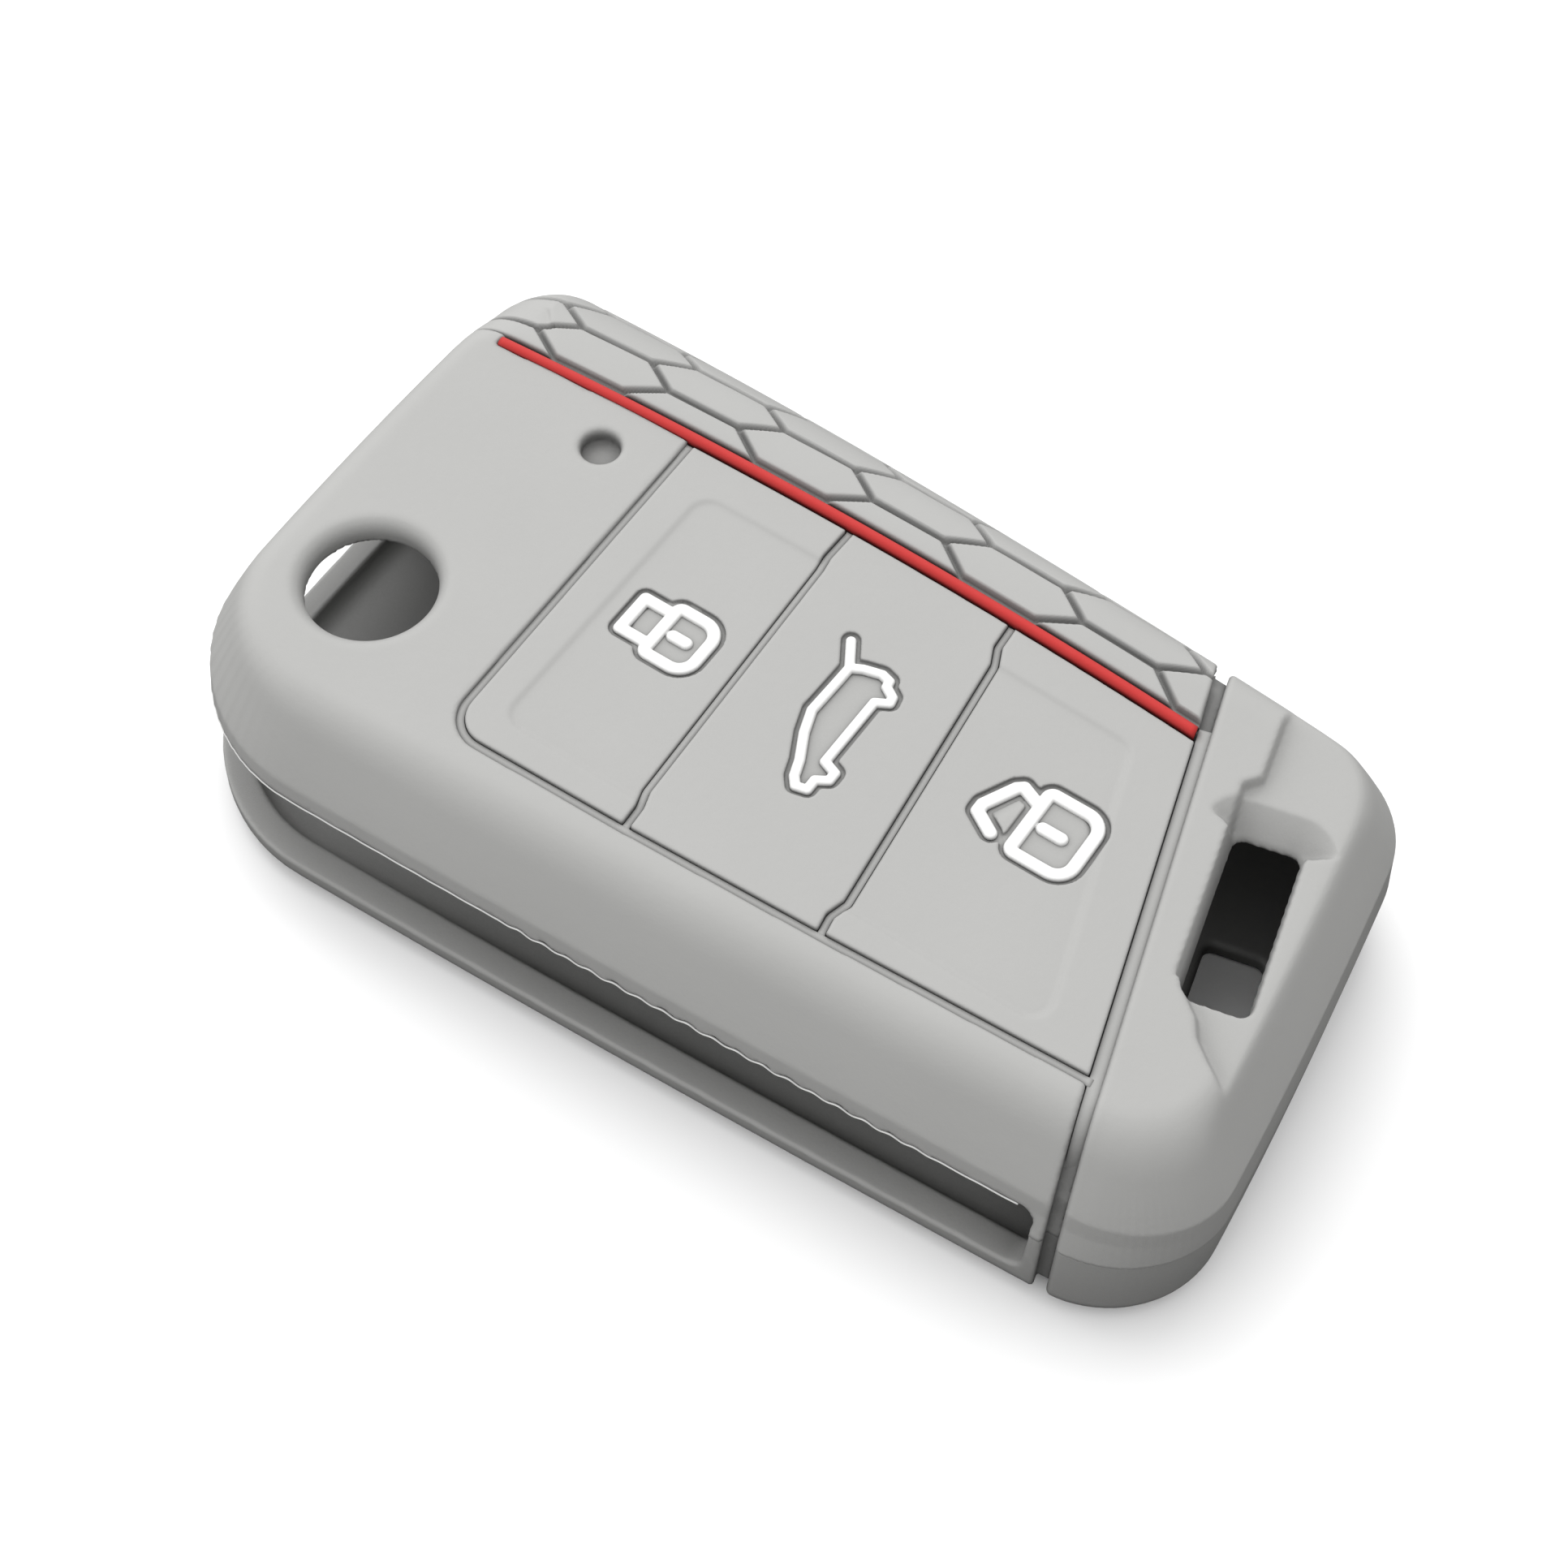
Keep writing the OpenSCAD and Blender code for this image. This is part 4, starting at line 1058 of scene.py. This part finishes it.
def panel_base(count, climbs, rolls):
    """Points of the panel before its pattern, and the plan places that the pattern is read at. On the wall:
    outline - normal * inset. Over the face, at its height: wall top * (1 - share) + bead line * share."""
    outer = far_boundary(count)
    normal = outward(outer)
    radius = STRIPE_RADIUS + STRIPE_WIDTH / 2 + STRIPE_GAP
    ends = (GROOVE_X - PANEL_SEAT - PANEL_FAR_Y * math.tan(GROOVE_ANGLE), outer[-1, 0])
    inner_x = ends[0] + (ends[1] - ends[0]) * np.linspace(0, 1, count)
    turn = np.arccos((inner_x - STRIPE_CENTRE[0]) / radius)
    inner = np.column_stack([inner_x, STRIPE_CENTRE[1] + radius * np.sin(turn)])
    wall_z = np.linspace(GRIP_LOW_Z, CREASE_Z, climbs)
    inset = np.interp(wall_z, WALL_HEIGHTS, WALL_INSETS)
    wall = outer[:, None, :] - normal[:, None, :] * inset[None, :, None]
    unfolded = wall + normal[:, None, :] * (CREASE_Z - wall_z)[None, :, None]
    share = np.linspace(0, 1, rolls)[1:]
    roll = wall[:, -1:, :] * (1 - share)[None, :, None] + inner[:, None, :] * share[None, :, None]
    plan = np.concatenate([wall, roll], 1)
    heights = np.concatenate([np.broadcast_to(wall_z, wall.shape[:2]),
                              read_map(height_map, roll[..., 0], roll[..., 1])], 1)
    return np.concatenate([plan, heights[..., None]], 2), np.concatenate([unfolded, roll], 1)


def add_honeycomb():
    """Top = base - outward * the deeper one of cell groove and rounded rim; bottom = base - outward *
    seat."""
    base, pattern = panel_base(440, 28, 80)
    across, stripe = (f(base[..., 0], base[..., 1]) for f in (across_groove, beyond_stripe))
    along, climb = np.gradient(base, axis=0), np.gradient(base, axis=1)
    out = np.cross(along, climb)
    out /= np.maximum(np.linalg.norm(out, axis=2), 1e-9)[..., None]
    rows, columns = base.shape[:2]
    tip = int(rows * (1 - PANEL_TIP))
    out[tip:] = out[tip]
    cell = inside_cell(pattern[..., 0], pattern[..., 1])
    depth = CELL_DEPTH * (1 - blend_step(CELL_FLOOR, CELL_GROOVE / 2 + CELL_EDGE, cell))
    edge = np.minimum(stripe - (STRIPE_WIDTH / 2 + STRIPE_GAP), -across)
    edge = np.minimum(edge, base[..., 2] - GRIP_LOW_Z)
    rim = PANEL_RIM - np.sqrt(PANEL_RIM ** 2 - np.clip(PANEL_RIM - edge, 0, PANEL_RIM) ** 2)
    top = base - out * np.maximum(depth, rim)[..., None]
    bottom = base - out * (GROOVE_DEPTH - PANEL_SEAT)
    sheet = sheet_faces(rows, columns)
    size = rows * columns
    border = np.concatenate([np.arange(columns - 1), columns - 1 + columns * np.arange(rows - 1),
                             (rows - 1) * columns + np.arange(columns - 1, 0, -1),
                             columns * np.arange(rows - 1, 0, -1)])
    following = np.roll(border, -1)
    side = np.stack([border, following, following + size, border + size], 1)
    faces = np.vstack([sheet, sheet[:, ::-1] + size, side])
    return put_mesh("honeycomb_panel", np.vstack([top.reshape(-1, 3), bottom.reshape(-1, 3)]), faces)


grip_piece = add_honeycomb()
print("honeycomb panel", len(grip_piece.data.polygons), "faces")

# %% [markdown]
# ## Silicone
#
# Moulded silicone is matt with a very fine grain from the tool. Its colour is even, with faint clouds where
# dust sits, and a soft sheen at grazing angles. Creases and the inside get painted shade, darker than the
# light alone makes them: colour = colour * (1 - depth * (1 - free ^ power)), where free is the share of
# directions with nothing in them within 16 mm. One node group gives all this to every colour.

# %% Building with nodes
def feed(tree, socket, value):
    """Sets a node's input to a number or colour, or links another node's output to it."""
    if isinstance(value, bpy.types.NodeSocket):
        tree.links.new(value, socket)
    else:
        socket.default_value = value


def math_node(tree, operation, *values):
    """One step of arithmetic on numbers or outputs. MULTIPLY_ADD is first * second + third."""
    step = tree.nodes.new("ShaderNodeMath")
    step.operation = operation
    for socket, value in zip(step.inputs, values):
        feed(tree, socket, value)
    return step.outputs[0]


# %% Silicone node group
# Painted shade: how dark, how sharply and how far out the colour is darkened in creases and inside.
PAINTED_SHADE_DEPTH, PAINTED_SHADE_POWER, PAINTED_SHADE_REACH, PAINTED_SHADE_RAYS = 0.8, 1.3, 0.016, 4
NOISES = {"cloud": (90, 3), "fine": (1300, 4), "grain": (4200, 2)}
ROUGHNESS_SPREAD, GRAIN_SHARE = 0.12, 0.5
GROUP_SOCKETS = {"INPUT": ("Colour", "Cloud strength", "Mean roughness"),
                 "OUTPUT": ("Colour", "Roughness", "Grain")}


def silicone_group():
    """Colour * (1 + clouds) * painted crevice shade; roughness = mean + spread * fine noise; grain = half
    of the finest noise + the fine one."""
    tree = bpy.data.node_groups.new("silicone_skin", "ShaderNodeTree")
    for way, names in GROUP_SOCKETS.items():
        for name in names:
            kind = "NodeSocketColor" if name == "Colour" else "NodeSocketFloat"
            tree.interface.new_socket(name, in_out=way, socket_type=kind)
    source, result = tree.nodes.new("NodeGroupInput"), tree.nodes.new("NodeGroupOutput")
    place = tree.nodes.new("ShaderNodeTexCoord")
    noises = {}
    for name, (scale, detail) in NOISES.items():
        noise = tree.nodes.new("ShaderNodeTexNoise")
        feed(tree, noise.inputs["Vector"], place.outputs["Object"])
        feed(tree, noise.inputs["Scale"], scale)
        feed(tree, noise.inputs["Detail"], detail)
        noises[name] = noise.outputs["Fac"]
    # Painted shade: ambient occlusion darkens the colour where the surface is hemmed in, in grooves, pockets
    # and the hollow.
    crevice = tree.nodes.new("ShaderNodeAmbientOcclusion")
    crevice.samples = PAINTED_SHADE_RAYS
    feed(tree, crevice.inputs["Distance"], PAINTED_SHADE_REACH)
    free = math_node(tree, "POWER", crevice.outputs["AO"], PAINTED_SHADE_POWER)
    shade = math_node(tree, "MULTIPLY_ADD", free, PAINTED_SHADE_DEPTH, 1 - PAINTED_SHADE_DEPTH)
    centred = math_node(tree, "SUBTRACT", noises["cloud"], 0.5)
    lift = math_node(tree, "MULTIPLY_ADD", centred, source.outputs["Cloud strength"], 1.0)
    tint = tree.nodes.new("ShaderNodeVectorMath")
    tint.operation = "SCALE"
    feed(tree, tint.inputs[0], source.outputs["Colour"])
    feed(tree, tint.inputs["Scale"], math_node(tree, "MULTIPLY", lift, shade))
    mean = source.outputs["Mean roughness"]
    rough = math_node(tree, "MULTIPLY_ADD", noises["fine"], ROUGHNESS_SPREAD, mean)
    grain = math_node(tree, "MULTIPLY_ADD", noises["grain"], GRAIN_SHARE, noises["fine"])
    feed(tree, result.inputs["Colour"], tint.outputs[0])
    feed(tree, result.inputs["Roughness"], rough)
    feed(tree, result.inputs["Grain"], grain)
    return tree


silicone_skin = silicone_group()
print("node group:", silicone_skin.name)

# %% Silicone materials
BUMP_HEIGHT, GLOSS, SHEEN_ROUGHNESS = 0.00003, 0.35, 0.5


def silicone(name, colour, clouds, roughness, grain, sheen):
    """Silicone of one colour: the group's colour, roughness and grain on a matt surface with a soft
    sheen."""
    material = bpy.data.materials.new(name)
    material.use_nodes = True
    tree = material.node_tree
    skin, bump = tree.nodes.new("ShaderNodeGroup"), tree.nodes.new("ShaderNodeBump")
    skin.node_tree = silicone_skin
    surface = tree.nodes["Principled BSDF"]
    values = {skin: {"Colour": (*colour, 1), "Cloud strength": clouds, "Mean roughness": roughness},
              bump: {"Strength": grain, "Distance": BUMP_HEIGHT, "Height": skin.outputs["Grain"]},
              surface: {"Base Color": skin.outputs["Colour"], "Roughness": skin.outputs["Roughness"],
                        "Normal": bump.outputs["Normal"], "Specular IOR Level": GLOSS,
                        "Sheen Weight": sheen, "Sheen Roughness": SHEEN_ROUGHNESS}}
    for node, inputs in values.items():
        for name, value in inputs.items():
            feed(tree, node.inputs[name], value)
    return material


grey_silicone = silicone("matt_grey_silicone", (0.35, 0.349, 0.341), 0.06, 0.6, 0.5, 0.03)
# Pale grey of the flash line: a painted highlight on the lip's rounded edge.
painted_highlight_silicone = silicone("pale_painted_highlight_silicone", (0.72, 0.72, 0.71), 0.06, 0.55, 0.5, 0.03)
red_silicone = silicone("matt_red_silicone", (0.45, 0.019, 0.017), 0.1, 0.6, 0.4, 0.02)
white_silicone = silicone("matt_white_silicone", (0.8, 0.8, 0.79), 0.03, 0.55, 0.3, 0.02)

# %% [markdown]
# ## Joining the pieces to the frame
#
# Every piece rides on the CAD body that it belongs to and stands for the CAD node that it replaces, so it
# moves with the pad or stays with the cover in every pose.

# %% Pieces, bodies and nodes
PIECES = [
    (front_piece, "front_shell", "cover", grey_silicone),
    (back_piece, "back_shell", "cover", grey_silicone),
    (cap_front_piece, "ring_cap_front", "cover", grey_silicone),
    (cap_back_piece, "ring_cap_back", "cover", grey_silicone),
    (grip_piece, "honeycomb_grip", "cover", grey_silicone),
    (stripe_piece, "red_stripe", "cover", red_silicone),
]
for icon in pad_areas:
    PIECES.append((pad_pieces[icon], icon + "_pad", icon + "_button", grey_silicone))
    PIECES.append((icon_pieces[icon], icon + "_icon", icon + "_button", white_silicone))
PIECES.append((skin_piece, None, "cover", grey_silicone))
# The flash line wears the pale painted highlight.
PIECES.append((flash_highlight_piece, None, "cover", painted_highlight_silicone))
for piece, node, body, material in PIECES:
    piece.data.materials.append(material)
    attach(piece, body)
    if node:
        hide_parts(node)

# %% [markdown]
# ## Floor and light
#
# The photograph was taken on white, under soft light from all round with more from the head end. A white
# sky that is a little brighter on that side, dark below the horizon, and a large soft lamp behind the cover
# give the narrow pale shadow on the near side. The floor shows the shadow but throws no light back up at
# the cover.

# %% Floor
FLOOR_HALF, FLOOR_DROP, FLOOR_POINTS = 1500, 0.02, 9
FLOOR_LOOK = {"Base Color": (0.92, 0.92, 0.92, 1), "Roughness": 0.9, "Specular IOR Level": 0.1}


def add_floor():
    """Large square just under the cover: (half * u, half * v, -drop) for u and v from -1 to 1."""
    steps = np.linspace(-1, 1, FLOOR_POINTS)
    u, v = np.meshgrid(steps, steps, indexing="ij")
    points = np.stack([u * FLOOR_HALF, v * FLOOR_HALF, 0 * u - FLOOR_DROP], 2).reshape(-1, 3)
    floor = put_mesh("floor", points, sheet_faces(FLOOR_POINTS, FLOOR_POINTS))
    material = bpy.data.materials.new("pale_floor")
    material.use_nodes = True
    surface = material.node_tree.nodes["Principled BSDF"]
    for name, value in FLOOR_LOOK.items():
        surface.inputs[name].default_value = value
    floor.data.materials.append(material)
    floor.visible_diffuse = False
    floor.visible_glossy = False
    return floor


print("floor:", len(add_floor().data.polygons), "faces")

# %% Lights
LAMP_PLACE, LAMP_SIZE, LAMP_POWER = (-0.3, 0.3, 0.6), 0.8, 2.8
SKY_STRENGTH, SKY_LEAN, SKY_EDGE = 1.18, 0.35, (-0.25, -0.03)


def add_lamp(name, place, size, power):
    """Round soft lamp at a place, shining at the origin."""
    data = bpy.data.lights.new(name, "AREA")
    data.shape = "DISK"
    data.size = size
    data.energy = power
    back = np.asarray(place, float) / np.linalg.norm(place)
    right = np.cross([0, 0, 1], back)
    right /= np.linalg.norm(right)
    return stand(bpy.data.objects.new(name, data), right, np.cross(back, right), back, place)


def add_sky(strength, lean):
    """White sky: strength * (1 - lean * x) above the horizon, falling to nothing below it, for a direction
    (x, y, z)."""
    world = bpy.data.worlds.new("white_sky")
    world.use_nodes = True
    tree = world.node_tree
    back = tree.nodes["Background"]
    back.inputs["Color"].default_value = (1, 1, 1, 1)
    place, split = tree.nodes.new("ShaderNodeTexCoord"), tree.nodes.new("ShaderNodeSeparateXYZ")
    feed(tree, split.inputs[0], place.outputs["Generated"])
    above = tree.nodes.new("ShaderNodeMapRange")
    above.interpolation_type = "SMOOTHSTEP"
    ramp = {"From Min": SKY_EDGE[0], "From Max": SKY_EDGE[1], "To Max": strength, "Value": split.outputs["Z"]}
    for name, value in ramp.items():
        feed(tree, above.inputs[name], value)
    side = math_node(tree, "MULTIPLY_ADD", split.outputs["X"], -lean, 1.0)
    feed(tree, back.inputs["Strength"], math_node(tree, "MULTIPLY", above.outputs["Result"], side))
    bpy.context.scene.world = world
    return world


bpy.context.scene.view_settings.view_transform = "Standard"
key_lamp = add_lamp("key_lamp", LAMP_PLACE, LAMP_SIZE, LAMP_POWER)
sky = add_sky(SKY_STRENGTH, SKY_LEAN)
print("lamp", key_lamp.name, "and sky", sky.name)

# %% The end
bpy.context.view_layer.update()
